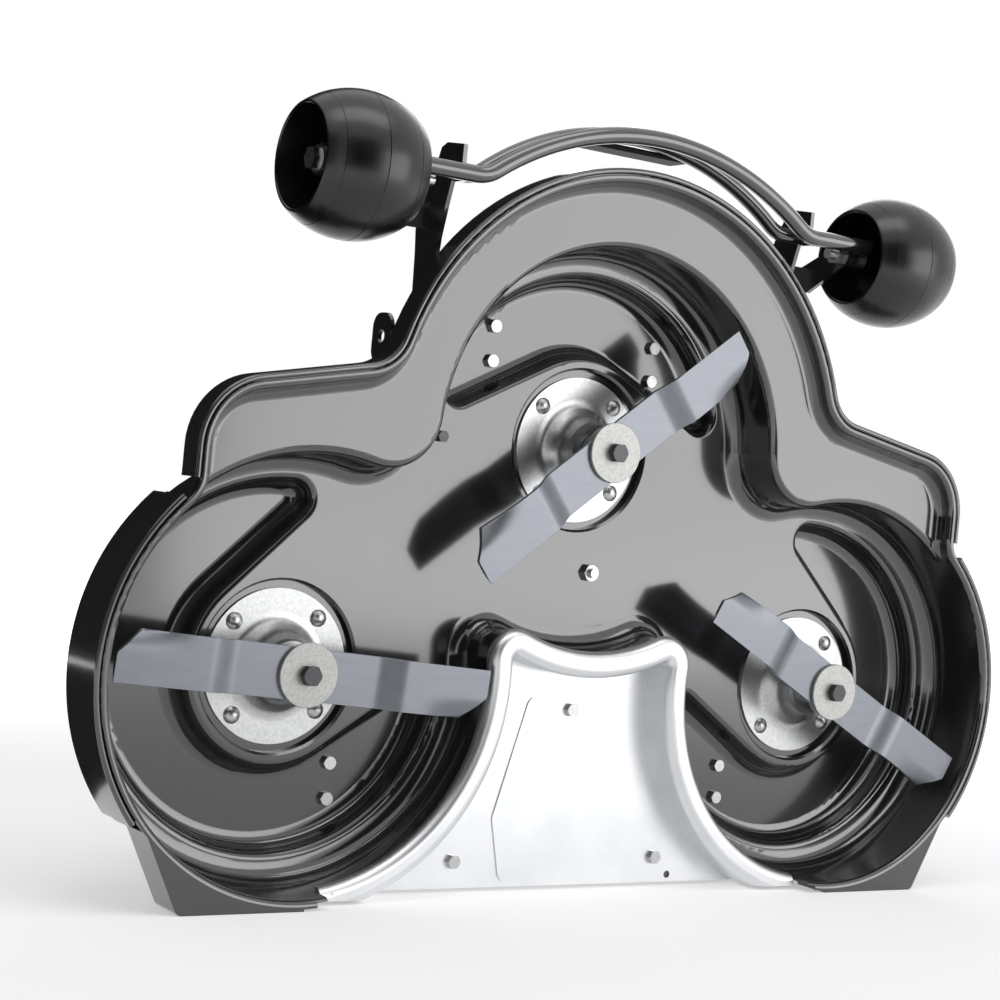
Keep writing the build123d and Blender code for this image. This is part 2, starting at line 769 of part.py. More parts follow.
def housing(name):
    """Pressed dome flange with the bearing barrel."""
    x, z = SPINDLES[name]
    seat_end = HUB_DEPTH + BEARING_WIDTH
    upper_seat = BARREL_TOP - BEARING_WIDTH
    face = SEAT_DEPTH - FLANGE_THICK
    bore = SHAFT_R + 4.0
    dome_end = FLANGE_BOLT_R - DOME_R - 2.0
    with BuildPart() as solid:
        with BuildSketch(section_at(x, z)):
            with BuildLine():
                Polyline(
                    (HUB_R + 2, HUB_DEPTH + 4), (HUB_R, HUB_DEPTH), (BEARING_R, HUB_DEPTH),
                    (BEARING_R, seat_end), (bore, seat_end), (bore, upper_seat),
                    (BEARING_R, upper_seat), (BEARING_R, BARREL_TOP), (BARREL_R, BARREL_TOP),
                    (BARREL_R, SEAT_DEPTH), (FLANGE_R, SEAT_DEPTH), (FLANGE_R, face), (dome_end, face),
                )
                Spline(
                    (HUB_R + 2, HUB_DEPTH + 4),
                    (HUB_R + 0.25 * (dome_end - HUB_R), face - 12),
                    (HUB_R + 0.55 * (dome_end - HUB_R), face - 4),
                    (dome_end, face),
                    tangents=((0.15, 1), (1, 0)),
                )
            make_face()
        revolve(axis=axis_at(x, z))
        add(rods(flange_bolt_points(name), M8_HOLE_R, face - DOME_HEIGHT, SEAT_DEPTH + OPEN), mode=Mode.SUBTRACT)
    return solid.part


def dome_bolts():
    """Round-head bolts through the flanges."""
    face = SEAT_DEPTH - FLANGE_THICK
    crown = face - DOME_HEIGHT
    brim = face - 1
    rise = brim - crown
    ball = (DOME_R**2 + rise**2) / (2 * rise)
    swing = math.asin(DOME_R / ball) / 2
    side_point = (ball * math.sin(swing), crown + ball * (1 - math.cos(swing)))
    points = [point for name in SPINDLES for point in flange_bolt_points(name)]
    with BuildPart() as bolts:
        for x, z in points:
            with BuildSketch(section_at(x, z)):
                with BuildLine():
                    Polyline((0, crown), (0, face), (DOME_R, face), (DOME_R, brim))
                    ThreePointArc((DOME_R, brim), side_point, (0, crown))
                make_face()
            revolve(axis=axis_at(x, z))
        shank_end = SEAT_DEPTH + SHEET + M8_NUT + M8_R
        add(rods(points, M8_R, face, shank_end))
    return bolts.part


def drilled_nuts(points, across_flats, bore, near, far):
    with BuildPart() as nuts:
        add(hexes(points, across_flats, near, far))
        add(rods(points, bore, near - OPEN, far + OPEN), mode=Mode.SUBTRACT)
    return nuts.part


def bearings(x, z):
    outer = BEARING_R - BEARING_FIT
    inner = SHAFT_R + RUN_FIT
    with BuildPart() as pair:
        for near in (HUB_DEPTH, BARREL_TOP - BEARING_WIDTH):
            far = near + BEARING_WIDTH
            rim = [
                (inner, near), (inner + 3.5, near), (inner + 3.5, near + 1), (outer - 3, near + 1),
                (outer - 3, near), (outer, near), (outer, far), (outer - 3, far), (outer - 3, far - 1),
                (inner + 3.5, far - 1), (inner + 3.5, far), (inner, far),
            ]
            add(turned(rim, x, z))
    return pair.part


def shaft(x, z):
    front = BLADE_FACE + BLADE_THICK
    shoulder = HUB_DEPTH - RUN_GAP
    hole_end = WASHER_FACE + BLADE_BOLT_LENGTH + 3
    return turned(
        [
            (BLADE_BOLT_R, front), (COLLAR_R, front), (COLLAR_R, front + COLLAR_THICK),
            (SHAFT_NECK_R, front + COLLAR_THICK + 3), (SHAFT_NECK_R, shoulder), (SHAFT_R, shoulder),
            (SHAFT_R, SHAFT_TOP - 1), (SHAFT_R - 1, SHAFT_TOP), (0, SHAFT_TOP), (0, hole_end),
            (BLADE_BOLT_R, hole_end),
        ],
        x, z,
    )


def blade_section(at, near, bevel, rise):
    """Cross-section of the blade: cutting edge at +v, wing at -v."""
    half = BLADE_WIDTH / 2
    bend = -half + WING_WIDTH
    mid = bend - WING_WIDTH / 2
    far = near + BLADE_THICK
    lean = (WING_WIDTH, 2 * rise)
    with BuildSketch(Plane(origin=(at, 0, 0), x_dir=(0, 0, 1), z_dir=(1, 0, 0))) as section:
        with BuildLine():
            Polyline((bend, -far), (half - bevel, -far), (half, -near), (bend, -near))
            Spline(
                (bend, -near), (mid, -near - rise / 4), (-half, -near - rise),
                tangents=((-1, 0), (-lean[0], -lean[1])),
            )
            Line((-half, -near - rise), (-half, -far - rise))
            Spline((-half, -far - rise), (mid, -far - rise / 4), (bend, -far), tangents=(lean, (1, 0)))
        make_face()
    return section.sketch


def eased(start, end, t):
    return start + (end - start) * t * t * (3 - 2 * t)


def blade():
    tip = BLADE_LENGTH / 2
    low = BLADE_FACE - BLADE_JOGGLE
    edge_from = tip - EDGE_LENGTH
    wing_from = tip - WING_LENGTH
    steps = [0, 0.15, 0.3, 0.5, 0.7, 0.85, 1]
    joggle = [
        blade_section(JOGGLE_FROM + t * (JOGGLE_TO - JOGGLE_FROM), eased(BLADE_FACE, low, t), 0, 0)
        for t in steps
    ]
    wing = [
        blade_section(wing_from + t * (tip - wing_from), low, EDGE_WIDTH, eased(0, WING_RISE, t))
        for t in steps
    ]
    with BuildPart() as half:
        loft([blade_section(0, BLADE_FACE, 0, 0), joggle[0]], ruled=True)
        loft(joggle)
        loft([joggle[-1], blade_section(edge_from, low, EDGE_WIDTH, 0)], ruled=True)
        loft([blade_section(edge_from, low, EDGE_WIDTH, 0), wing[0]], ruled=True)
        loft(wing)
        with BuildSketch(Plane.XZ):
            with BuildLine():
                Polyline(
                    (tip - 2 * TIP_CLIP, BLADE_WIDTH / 2), (tip, BLADE_WIDTH / 2 - TIP_CLIP),
                    (tip + OPEN, BLADE_WIDTH / 2 - TIP_CLIP), (tip + OPEN, BLADE_WIDTH / 2 + OPEN),
                    (tip - 2 * TIP_CLIP, BLADE_WIDTH / 2 + OPEN), close=True,
                )
            make_face()
        extrude(amount=-4 * BLADE_FACE, mode=Mode.SUBTRACT)
    with BuildPart() as whole:
        add(half.part)
        add(half.part.rotate(Axis.Y, 180))
        with BuildSketch(Plane.XZ):
            Circle(BLADE_BOLT_R + 0.2)
        extrude(amount=-4 * BLADE_FACE, mode=Mode.SUBTRACT)
    return whole.part


def ring(x, z, inner, outer, near, far, edge):
    return turned(
        [
            (inner, near), (outer - edge, near), (outer, near + edge), (outer, far - edge),
            (outer - edge, far), (inner, far),
        ],
        x, z,
    )


def blade_bolt(x, z):
    with BuildPart() as bolt:
        add(hex_heads([(x, z)], BLADE_BOLT_AF, WASHER_FACE - BLADE_BOLT_HEAD, WASHER_FACE))
        add(rods([(x, z)], BLADE_BOLT_R, WASHER_FACE, WASHER_FACE + BLADE_BOLT_LENGTH))
    return bolt.part


def pulley(x, z):
    """V-belt pulley, hub seated above the bearing barrel."""
    near = BARREL_TOP + 0.5
    low = near + (PULLEY_HUB_WIDTH - PULLEY_WIDTH) / 2
    mid = low + PULLEY_WIDTH / 2
    high = low + PULLEY_WIDTH
    web = 3.0
    return turned(
        [
            (SHAFT_R, near), (PULLEY_HUB_R, near), (PULLEY_HUB_R, mid - web), (PULLEY_ROOT_R - 3, mid - web),
            (PULLEY_R - 2, low), (PULLEY_R, low), (PULLEY_R, low + 1.5), (PULLEY_ROOT_R, mid - 3),
            (PULLEY_ROOT_R, mid + 3), (PULLEY_R, high - 1.5), (PULLEY_R, high), (PULLEY_R - 2, high),
            (PULLEY_ROOT_R - 3, mid + web), (PULLEY_HUB_R, mid + web), (PULLEY_HUB_R, near + PULLEY_HUB_WIDTH),
            (SHAFT_R, near + PULLEY_HUB_WIDTH),
        ],
        x, z,
    )


save(dome_bolts(), "flange_bolts")
nut_seat = SEAT_DEPTH + SHEET
nut_points = [point for name in SPINDLES for point in flange_bolt_points(name)]
save(drilled_nuts(nut_points, M8_AF, M8_R, nut_seat, nut_seat + M8_NUT), "flange_nuts")

flat_blade = blade()
for name, (x, z) in SPINDLES.items():
    save(housing(name), f"spindle_housing_{name}")
    save(bearings(x, z), f"bearings_{name}")
    save(shaft(x, z), f"spindle_shaft_{name}")
    turned_blade = flat_blade.rotate(Axis.Y, -BLADE_ANGLE[name])
    save(Pos(x, RIM_Y, z) * turned_blade, f"blade_{name}")
    save(ring(x, z, BLADE_BOLT_R + 0.2, WASHER_R, WASHER_FACE, BLADE_FACE, 0.6), f"blade_washer_{name}")
    save(blade_bolt(x, z), f"blade_bolt_{name}")
    save(pulley(x, z), f"spindle_pulley_{name}")
    top = BARREL_TOP + 0.5 + PULLEY_HUB_WIDTH
    save(drilled_nuts([(x, z)], PULLEY_NUT_AF, SHAFT_R, top, top + PULLEY_NUT), f"pulley_nut_{name}")


# Front tubes, wheel brackets and gauge wheels


def side_plane(x):
    """Plane facing +X: local x is Y, local y is Z."""
    return Plane.YZ.offset(x)


def at(depth, z):
    return (RIM_Y + depth, z)


def arched_bar(depth, radius, end, arch_r, arch_top, bend_r):
    """Round bar: level straight ends at (x, z), reverse bends, and an arch over the nose."""
    end_x, end_z = end
    arch_z = arch_top - arch_r
    reach = arch_r + bend_r
    bend_z = end_z + bend_r
    bend_x = math.sqrt(reach**2 - (bend_z - arch_z) ** 2)
    meet_x = bend_x * arch_r / reach
    meet_z = arch_z + (bend_z - arch_z) * arch_r / reach
    turn = math.atan2(meet_z - bend_z, meet_x - bend_x)
    low = -math.pi / 2
    middle = (low + (turn if turn < 0 else turn - 2 * math.pi)) / 2
    mid_x = bend_x + bend_r * math.cos(middle)
    mid_z = bend_z + bend_r * math.sin(middle)
    with BuildPart() as bar:
        with BuildLine(level(depth)) as path:
            Line((-end_x, end_z), (-bend_x, end_z))
            ThreePointArc((-bend_x, end_z), (-mid_x, mid_z), (-meet_x, meet_z))
            ThreePointArc((-meet_x, meet_z), (0, arch_top), (meet_x, meet_z))
            ThreePointArc((meet_x, meet_z), (mid_x, mid_z), (bend_x, end_z))
            Line((bend_x, end_z), (end_x, end_z))
        with BuildSketch(Plane(origin=path.line @ 0, z_dir=path.line % 0)):
            Circle(radius)
        sweep()
    return bar.part


def bent_tube():
    """Front tube, its ends in the wheel dishes."""
    return arched_bar(TUBE_DEPTH, TUBE_R, (TUBE_END_X, TUBE_Z), TUBE_ARCH_R, TUBE_ARCH_TOP, TUBE_BEND_R)


def arched_rod():
    """Second bar behind the tube, between the bracket plates."""
    end = (BRACKET_X - BRACKET_THICK / 2, ROD_Z)
    return arched_bar(ROD_DEPTH, ROD_R, end, ROD_ARCH_R, ROD_ARCH_TOP, ROD_BEND_R)


def arch_strap():
    """Flat bar behind the arched rod; its front edge meets the rod near both ends."""
    drop = ROD_ARCH_R - math.sqrt(ROD_ARCH_R**2 - STRAP_HALF**2)
    top = ROD_ARCH_TOP - drop
    with BuildPart() as strap:
        with BuildSketch(side_plane(0)):
            with Locations(at(ROD_DEPTH + ROD_R / 2 + STRAP_WIDTH / 2, top - STRAP_THICK / 2)):
                RectangleRounded(STRAP_WIDTH, STRAP_THICK, STRAP_THICK / 2 - 0.2)
        extrude(amount=STRAP_HALF, both=True)
        add(arched_rod(), mode=Mode.SUBTRACT)
    return strap.part


def wheel_bracket():
    """Right-hand bracket: main plate, axle arm, cross web and foot."""
    seat = BAND_DEPTH + SHEET
    inner_x = BRACKET_X - BRACKET_THICK / 2
    arm_x = ARM_X - ARM_THICK / 2
    outline = [
        (TUBE_DEPTH + 2, TUBE_Z + 7), (10, TUBE_Z + 9), (10, BRACKET_TOP - 4), (41, BRACKET_TOP),
        (51, BRACKET_TOP - 4), (55, BRACKET_TOP - 13), (88, TUBE_Z - 39), (84, TUBE_Z - 74),
        (82, EAR_Z + 44), (99, EAR_Z + 19),
        (EAR_DEPTH - EAR_R + 4, EAR_Z - 4), (EAR_DEPTH, BRACKET_FOOT_LOW),
        (seat, BRACKET_FOOT_LOW), (seat, EAR_Z + 46), (SKIRT_DEPTH + 8, EAR_Z + 60),
        (SKIRT_DEPTH + 14, TUBE_Z - 75), (SKIRT_DEPTH + 12, TUBE_Z - 59), (34, TUBE_Z - 28),
        (27, TUBE_Z - 5), (20, TUBE_Z - 7), (TUBE_DEPTH + 2, TUBE_Z - 7),
    ]
    ear_high = EAR_Z + EAR_R + 6
    with BuildPart() as bracket:
        with BuildSketch(side_plane(inner_x)):
            with BuildLine():
                Polyline(*[at(*p) for p in outline], close=True)
            make_face()
            with Locations(at(EAR_DEPTH, (BRACKET_FOOT_LOW + ear_high) / 2)):
                RectangleRounded(2 * EAR_R, ear_high - BRACKET_FOOT_LOW, 0.8 * EAR_R)
            with Locations(at(EAR_DEPTH, EAR_Z)):
                Circle(HANGER_PIN_R, mode=Mode.SUBTRACT)
            with Locations(at(TUBE_DEPTH, TUBE_Z)):
                Circle(TUBE_R, mode=Mode.SUBTRACT)
        extrude(amount=BRACKET_THICK)
        with BuildSketch(side_plane(arm_x)):
            with BuildSketch(mode=Mode.PRIVATE) as arm:
                with Locations(at(WHEEL_DEPTH, WHEEL_Z)):
                    Circle(ARM_BOSS_R)
                with Locations(at(ARM_FOOT_DEPTH + ARM_BOSS_R / 2, ARM_FOOT_Z + ARM_FOOT_HEIGHT / 2)):
                    Rectangle(ARM_BOSS_R, ARM_FOOT_HEIGHT)
                make_hull()
            add(arm.sketch)
            with Locations(at(WHEEL_DEPTH, WHEEL_Z)):
                Circle(AXLE_R, mode=Mode.SUBTRACT)
        extrude(amount=ARM_THICK)
        with BuildSketch(side_plane(inner_x)):
            with Locations(at(ARM_FOOT_DEPTH + ARM_BOSS_R - ARM_THICK / 2, ARM_FOOT_Z + ARM_FOOT_HEIGHT / 2)):
                Rectangle(ARM_THICK, ARM_FOOT_HEIGHT)
        extrude(amount=arm_x + ARM_THICK - inner_x)
        with BuildSketch(level(seat)):
            with Locations((inner_x, BRACKET_FOOT_LOW)):
                Rectangle(
                    BRACKET_FOOT_WIDTH, BRACKET_FOOT_HIGH - BRACKET_FOOT_LOW, align=(Align.MIN, Align.MIN),
                )
        extrude(amount=-BRACKET_THICK)
    return bracket.part


def wheel_axis():
    return Axis((0, RIM_Y + WHEEL_DEPTH, WHEEL_Z), (1, 0, 0))


def wheel_section():
    """Plane through the wheel axis: local x is X, local y the radius."""
    return Plane(origin=(0, RIM_Y + WHEEL_DEPTH, WHEEL_Z), x_dir=(1, 0, 0), z_dir=(0, -1, 0))


def gauge_wheel():
    """Right-hand barrel wheel, dished on both sides, with a through bore."""
    half = WHEEL_WIDTH / 2
    bore = AXLE_R + AXLE_FIT
    hub_in = WHEEL_X - WHEEL_HUB_IN
    hub_out = WHEEL_X + WHEEL_HUB_OUT
    edge = WHEEL_OPEN_R + WHEEL_RIM
    web = WHEEL_WEB / 2
    crown = WHEEL_R - edge
    barrel = ((half - 0.8) ** 2 + crown**2) / (2 * crown)
    with BuildPart() as wheel:
        with BuildSketch(wheel_section()):
            with BuildLine():
                Polyline(
                    (WHEEL_X - half + 0.8, edge), (WHEEL_X - half, edge - 1), (WHEEL_X - half, WHEEL_OPEN_R + 1),
                    (WHEEL_X - half + 1, WHEEL_OPEN_R), (WHEEL_X - web, WHEEL_OPEN_R - 7),
                    (WHEEL_X - web, WHEEL_HUB_R + 4), (hub_in, WHEEL_HUB_R), (hub_in, bore), (hub_out, bore),
                    (hub_out, WHEEL_HUB_R), (WHEEL_X + web, WHEEL_HUB_R + 4), (WHEEL_X + web, WHEEL_OPEN_R - 7),
                    (WHEEL_X + half - 1, WHEEL_OPEN_R), (WHEEL_X + half, WHEEL_OPEN_R + 1),
                    (WHEEL_X + half, edge - 1), (WHEEL_X + half - 0.8, edge),
                )
                ThreePointArc((WHEEL_X - half + 0.8, edge), (WHEEL_X, WHEEL_R), (WHEEL_X + half - 0.8, edge))
            make_face()
            for seam in WHEEL_SEAMS:
                tread = math.sqrt(barrel**2 - seam**2) - (barrel - WHEEL_R)
                with Locations(Location((WHEEL_X + seam, tread), 45)):
                    Rectangle(SEAM_DEPTH, SEAM_DEPTH, mode=Mode.SUBTRACT)
        revolve(axis=wheel_axis())
    return wheel.part


def along_axle(sketch_radius, near_x, far_x, sides=0):
    with BuildPart() as piece:
        with BuildSketch(side_plane(near_x)):
            with Locations(at(WHEEL_DEPTH, WHEEL_Z)):
                if sides:
                    RegularPolygon(sketch_radius, sides, major_radius=False)
                else:
                    Circle(sketch_radius)
        extrude(amount=far_x - near_x)
    return piece.part


def axle_set():
    """Right-hand axle bolt, its spacer and its nut."""
    arm_in = ARM_X - ARM_THICK / 2
    arm_out = ARM_X + ARM_THICK / 2
    hub_in = WHEEL_X - WHEEL_HUB_IN
    hub_out = WHEEL_X + WHEEL_HUB_OUT + RUN_GAP
    with BuildPart() as bolt:
        add(along_axle(AXLE_R, arm_in - AXLE_NUT - AXLE_TAIL, hub_out))
        add(along_axle(AXLE_WASHER_R, hub_out, hub_out + AXLE_WASHER))
        add(along_axle(AXLE_AF / 2, hub_out + AXLE_WASHER, hub_out + AXLE_WASHER + AXLE_HEAD, 6))
    with BuildPart() as nut:
        add(along_axle(AXLE_AF / 2, arm_in - AXLE_NUT, arm_in, 6))
        add(along_axle(AXLE_R, arm_in - AXLE_NUT - OPEN, arm_in + OPEN), mode=Mode.SUBTRACT)
    with BuildPart() as spacer:
        add(along_axle(SPACER_R, arm_out, hub_in - RUN_GAP))
        add(along_axle(AXLE_R, arm_out - OPEN, hub_in + OPEN), mode=Mode.SUBTRACT)
    return bolt.part, nut.part, spacer.part


save(bent_tube(), "front_tube")
save(arched_rod(), "arched_rod")
save(arch_strap(), "arch_strap")
axle_bolt, axle_nut, axle_spacer = axle_set()
pairs = {"wheel_bracket": wheel_bracket(), "gauge_wheel": gauge_wheel(), "axle_bolt": axle_bolt}
for piece_name, piece in pairs.items():
    save(piece, f"{piece_name}_right")
    save(mirror(piece, about=Plane.YZ), f"{piece_name}_left")
for piece_name, piece in {"axle_nuts": axle_nut, "axle_spacers": axle_spacer}.items():
    with BuildPart() as both:
        add(piece)
        add(mirror(piece, about=Plane.YZ))
    save(both.part, piece_name)


# Hangers on the top side


def hanger(x, z, ear_low):
    """Base strip on the ceiling with a standing ear; the ear has a pin hole."""
    seat = CEILING_DEPTH + SHEET
    side = 1 if x > 0 else -1
    ear_x = x + side * (HANGER_WIDTH / 2 - HANGER_THICK)
    ear_end = seat + HANGER_EAR_DEPTH
    with BuildPart() as solid:
        with BuildSketch(level(seat)):
            with Locations((x, z)):
                RectangleRounded(HANGER_WIDTH, HANGER_LENGTH, 4)
            with Locations((x, z - HANGER_PITCH / 2), (x, z + HANGER_PITCH / 2)):
                Circle(M8_HOLE_R, mode=Mode.SUBTRACT)
        extrude(amount=-HANGER_THICK)
        with BuildSketch(side_plane(ear_x)):
            with BuildLine():
                Polyline(
                    at(seat, z + HANGER_LENGTH / 2 - 6), at(seat, ear_low), at(ear_end - EAR_R, ear_low),
                    at(ear_end, ear_low + EAR_R), at(ear_end, z), at(seat + HANGER_THICK, z + HANGER_LENGTH / 2 - 6),
                    close=True,
                )
            make_face()
            with Locations(at(ear_end - EAR_R, z - HANGER_PITCH / 4)):
                Circle(HANGER_PIN_R, mode=Mode.SUBTRACT)
        extrude(amount=side * HANGER_THICK)
    return solid.part


for side_name, side in SIDES.items():
    front_low = HANGER_FRONT_Z - HANGER_LENGTH / 2 + 6
    save(hanger(side * HANGER_FRONT_X, HANGER_FRONT_Z, front_low), f"hanger_front_{side_name}")
    save(hanger(side * HANGER_REAR_X, HANGER_REAR_Z, 0.0), f"hanger_rear_{side_name}")

ceiling_back = CEILING_DEPTH + SHEET + HANGER_THICK
with BuildPart() as hanger_bolts:
    add(hex_heads(hanger_points(), M8_AF, CEILING_DEPTH - M8_HEAD, CEILING_DEPTH))
    add(rods(hanger_points(), M8_R, CEILING_DEPTH, ceiling_back + M8_NUT + M8_R))
save(hanger_bolts.part, "hanger_bolts")
hanger_nuts = drilled_nuts(hanger_points(), M8_AF, M8_R, ceiling_back, ceiling_back + M8_NUT)
save(hanger_nuts, "hanger_nuts")


# Idler

belt_plane = BARREL_TOP + 0.5 + PULLEY_HUB_WIDTH / 2
idler_low = belt_plane - PULLEY_WIDTH / 2
idler_high = belt_plane + PULLEY_WIDTH / 2
arm_high = idler_low - 3
arm_low = arm_high - ARM_PLATE_THICK
plateau_back = PLATEAU_DEPTH + SHEET
idler_x = PIVOT_X + IDLER_REACH
idler_z = PIVOT_Z
tail_x = PIVOT_X + TAIL_REACH * math.cos(math.radians(TAIL_ANGLE))
tail_z = PIVOT_Z + TAIL_REACH * math.sin(math.radians(TAIL_ANGLE))

spring_depth = arm_high + SPRING_R + RUN_GAP

with BuildPart() as pivot_bolt:
    add(hex_heads([(PIVOT_X, PIVOT_Z)], M8_AF + 4, PLATEAU_DEPTH - M8_NUT, PLATEAU_DEPTH))
    add(rods([(PIVOT_X, PIVOT_Z)], PIVOT_R, PLATEAU_DEPTH - M8_NUT - 5, arm_high + RUN_GAP))
    add(hexes([(PIVOT_X, PIVOT_Z)], M8_AF + 4, arm_high + RUN_GAP, arm_high + RUN_GAP + M8_NUT))
save(pivot_bolt.part, "idler_pivot_bolt")

with BuildPart() as idler_arm:
    with BuildSketch() as arm_plan:
        with BuildSketch(mode=Mode.PRIVATE) as long_half:
            with Locations((PIVOT_X, PIVOT_Z)):
                Circle(PIVOT_BOSS_R + 3)
            with Locations((idler_x, idler_z)):
                Circle(IDLER_HUB_R)
            make_hull()
        with BuildSketch(mode=Mode.PRIVATE) as short_half:
            with Locations((PIVOT_X, PIVOT_Z)):
                Circle(PIVOT_BOSS_R + 3)
            with Locations((tail_x, tail_z)):
                Circle(SPRING_R + 2)
            make_hull()
        add(long_half.sketch)
        add(short_half.sketch)
    add(prism(arm_plan.sketch, arm_low, arm_high))
    add(rods([(tail_x, tail_z)], M8_R, arm_high, spring_depth + SPRING_R))
    add(rods([(PIVOT_X, PIVOT_Z)], PIVOT_BOSS_R, plateau_back + RUN_GAP, arm_low))
    add(rods([(PIVOT_X, PIVOT_Z)], PIVOT_R + PIVOT_FIT, plateau_back - OPEN, arm_high + OPEN), mode=Mode.SUBTRACT)
    add(rods([(idler_x, idler_z)], PIVOT_R, arm_low - OPEN, arm_high + OPEN), mode=Mode.SUBTRACT)
save(idler_arm.part, "idler_arm")

with BuildPart() as idler_bolt:
    add(hexes([(idler_x, idler_z)], M8_AF + 4, arm_low - M8_NUT, arm_low))
    add(rods([(idler_x, idler_z)], PIVOT_R, arm_low, idler_high + RUN_GAP))
    add(rods([(idler_x, idler_z)], IDLER_HUB_R - 2, arm_high, idler_low - RUN_GAP))
    add(hexes([(idler_x, idler_z)], M8_AF + 4, idler_high + RUN_GAP, idler_high + RUN_GAP + M8_HEAD))
save(idler_bolt.part, "idler_bolt")

idler_outline = [
    (PIVOT_R + PIVOT_FIT, idler_low), (IDLER_HUB_R, idler_low), (IDLER_HUB_R, belt_plane - 4),
    (IDLER_R - 9, belt_plane - 4), (IDLER_R - 9, idler_low + 2), (IDLER_R, idler_low + 2), (IDLER_R, idler_low + 4),
    (IDLER_R - 6, idler_low + 5), (IDLER_R - 6, idler_high - 5), (IDLER_R, idler_high - 4), (IDLER_R, idler_high - 2),
    (IDLER_R - 9, idler_high - 2), (IDLER_R - 9, belt_plane + 4), (IDLER_HUB_R, belt_plane + 4),
    (IDLER_HUB_R, idler_high), (PIVOT_R + PIVOT_FIT, idler_high),
]
save(turned(idler_outline, idler_x, idler_z), "idler_pulley")

with BuildPart() as spring_post:
    add(hexes([(POST_X, POST_Z)], M8_AF - 2, PLATEAU_DEPTH - M8_HEAD, PLATEAU_DEPTH))
    add(rods([(POST_X, POST_Z)], M8_R, PLATEAU_DEPTH, spring_depth + SPRING_R))
    add(rods([(POST_X, POST_Z)], M8_R + 2, plateau_back, arm_high))
save(spring_post.part, "spring_post")

with BuildPart() as spring:
    start = (tail_x, tail_z)
    end = (POST_X, POST_Z)
    span = math.dist(start, end)
    heading = ((end[0] - start[0]) / span, (end[1] - start[1]) / span)
    coil_from = 2.4 * SPRING_R
    coil_to = span - 2.4 * SPRING_R
    turns = int((coil_to - coil_from) / (2 * SPRING_WIRE))
    pitch = (coil_to - coil_from) / turns
    body = Plane(
        origin=(start[0], RIM_Y + spring_depth, start[1]),
        x_dir=(heading[0], 0, heading[1]),
        z_dir=(0, -1, 0),
    )
    with BuildSketch(body):
        with BuildLine():
            outline = [(coil_from, 0)]
            for k in range(turns):
                left = coil_from + k * pitch
                outline += [
                    (left, SPRING_R - SPRING_WIRE),
                    (left + 0.3 * pitch, SPRING_R),
                    (left + 0.7 * pitch, SPRING_R),
                ]
            outline += [(coil_to, SPRING_R - SPRING_WIRE), (coil_to, 0)]
            Polyline(*outline, close=True)
        make_face()
    revolve(axis=Axis(body.origin, body.x_dir))
    for hook in (start, end):
        with BuildSketch(level(spring_depth - SPRING_WIRE / 2)):
            with Locations(hook):
                Circle(M8_R + SPRING_WIRE)
                Circle(M8_R, mode=Mode.SUBTRACT)
        extrude(amount=-SPRING_WIRE)
    link_from = M8_R + SPRING_WIRE / 2
    with BuildSketch(Plane(origin=body.origin, z_dir=body.x_dir).offset(link_from)):
        Circle(0.4 * SPRING_WIRE)
    extrude(amount=coil_from - link_from)
    with BuildSketch(Plane(origin=body.origin, z_dir=body.x_dir).offset(coil_to)):
        Circle(0.4 * SPRING_WIRE)
    extrude(amount=span - coil_to - link_from)
save(spring.part, "idler_spring")


# Belt covers


def cover_studs_at(side):
    center = (side * SPINDLE_X, REAR_SPINDLE_Z)
    angles = COVER_LUG_ANGLES if side < 0 else [180 - a for a in COVER_LUG_ANGLES]
    return around(center, COVER_R + COVER_LUG_OUT, angles)


def belt_cover(side):
    """Cup over a rear pulley, open towards the middle where the belt runs out."""
    x = side * SPINDLE_X
    z = REAR_SPINDLE_Z
    seat = CEILING_DEPTH + SHEET
    mouth = COVER_MOUTH_TURN if side < 0 else 180 - COVER_MOUTH_TURN
    with BuildPart() as cup:
        with BuildPart(mode=Mode.PRIVATE) as outer:
            add(rods([(x, z)], COVER_R, seat, COVER_TOP))
            fillet(edges_at(outer, COVER_TOP), COVER_ROUND)
        with BuildPart(mode=Mode.PRIVATE) as inner:
            add(rods([(x, z)], COVER_R - COVER_WALL, seat - OPEN, COVER_TOP - COVER_WALL))
            fillet(edges_at(inner, COVER_TOP - COVER_WALL), COVER_ROUND - COVER_WALL)
        add(outer.part)
        for stud_x, stud_z in cover_studs_at(side):
            inward = (COVER_R - COVER_LUG_R) / (COVER_R + COVER_LUG_OUT)
            with BuildSketch() as lug:
                with Locations((stud_x, stud_z), (x + inward * (stud_x - x), z + inward * (stud_z - z))):
                    Circle(COVER_LUG_R)
                make_hull()
            add(prism(lug.sketch, seat, seat + COVER_LUG_THICK))
        add(inner.part, mode=Mode.SUBTRACT)
        with BuildSketch() as opening:
            with Locations(Location((x, z), mouth)):
                Rectangle(2 * COVER_R, 2 * COVER_MOUTH_HALF, align=(Align.MIN, Align.CENTER))
        add(prism(opening.sketch, seat - OPEN, COVER_TOP - COVER_ROUND), mode=Mode.SUBTRACT)
        holes = rods(cover_studs_at(side), COVER_STUD_R + 0.2, seat - OPEN, seat + COVER_LUG_THICK + OPEN)
        add(holes, mode=Mode.SUBTRACT)
    return cup.part


for side_name, side in SIDES.items():
    save(belt_cover(side), f"belt_cover_{side_name}")
studs = [point for side in SIDES.values() for point in cover_studs_at(side)]
lug_top = CEILING_DEPTH + SHEET + COVER_LUG_THICK
with BuildPart() as cover_studs:
    add(rods(studs, COVER_STUD_R, CEILING_DEPTH + SHEET, lug_top + 8))
    add(hexes(studs, M8_AF - 3, lug_top, lug_top + 5))
save(cover_studs.part, "cover_studs")
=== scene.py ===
# %% [markdown]
# A three-blade mower deck, stood on its rear edge so that its underside faces us.
# The solids come from the CAD step in metres, each already in its place. This lesson
# gives them their finishes, shapes the three blades itself, and sets up a plain studio
# round them.

import math

import bpy
from mathutils import Matrix, Vector


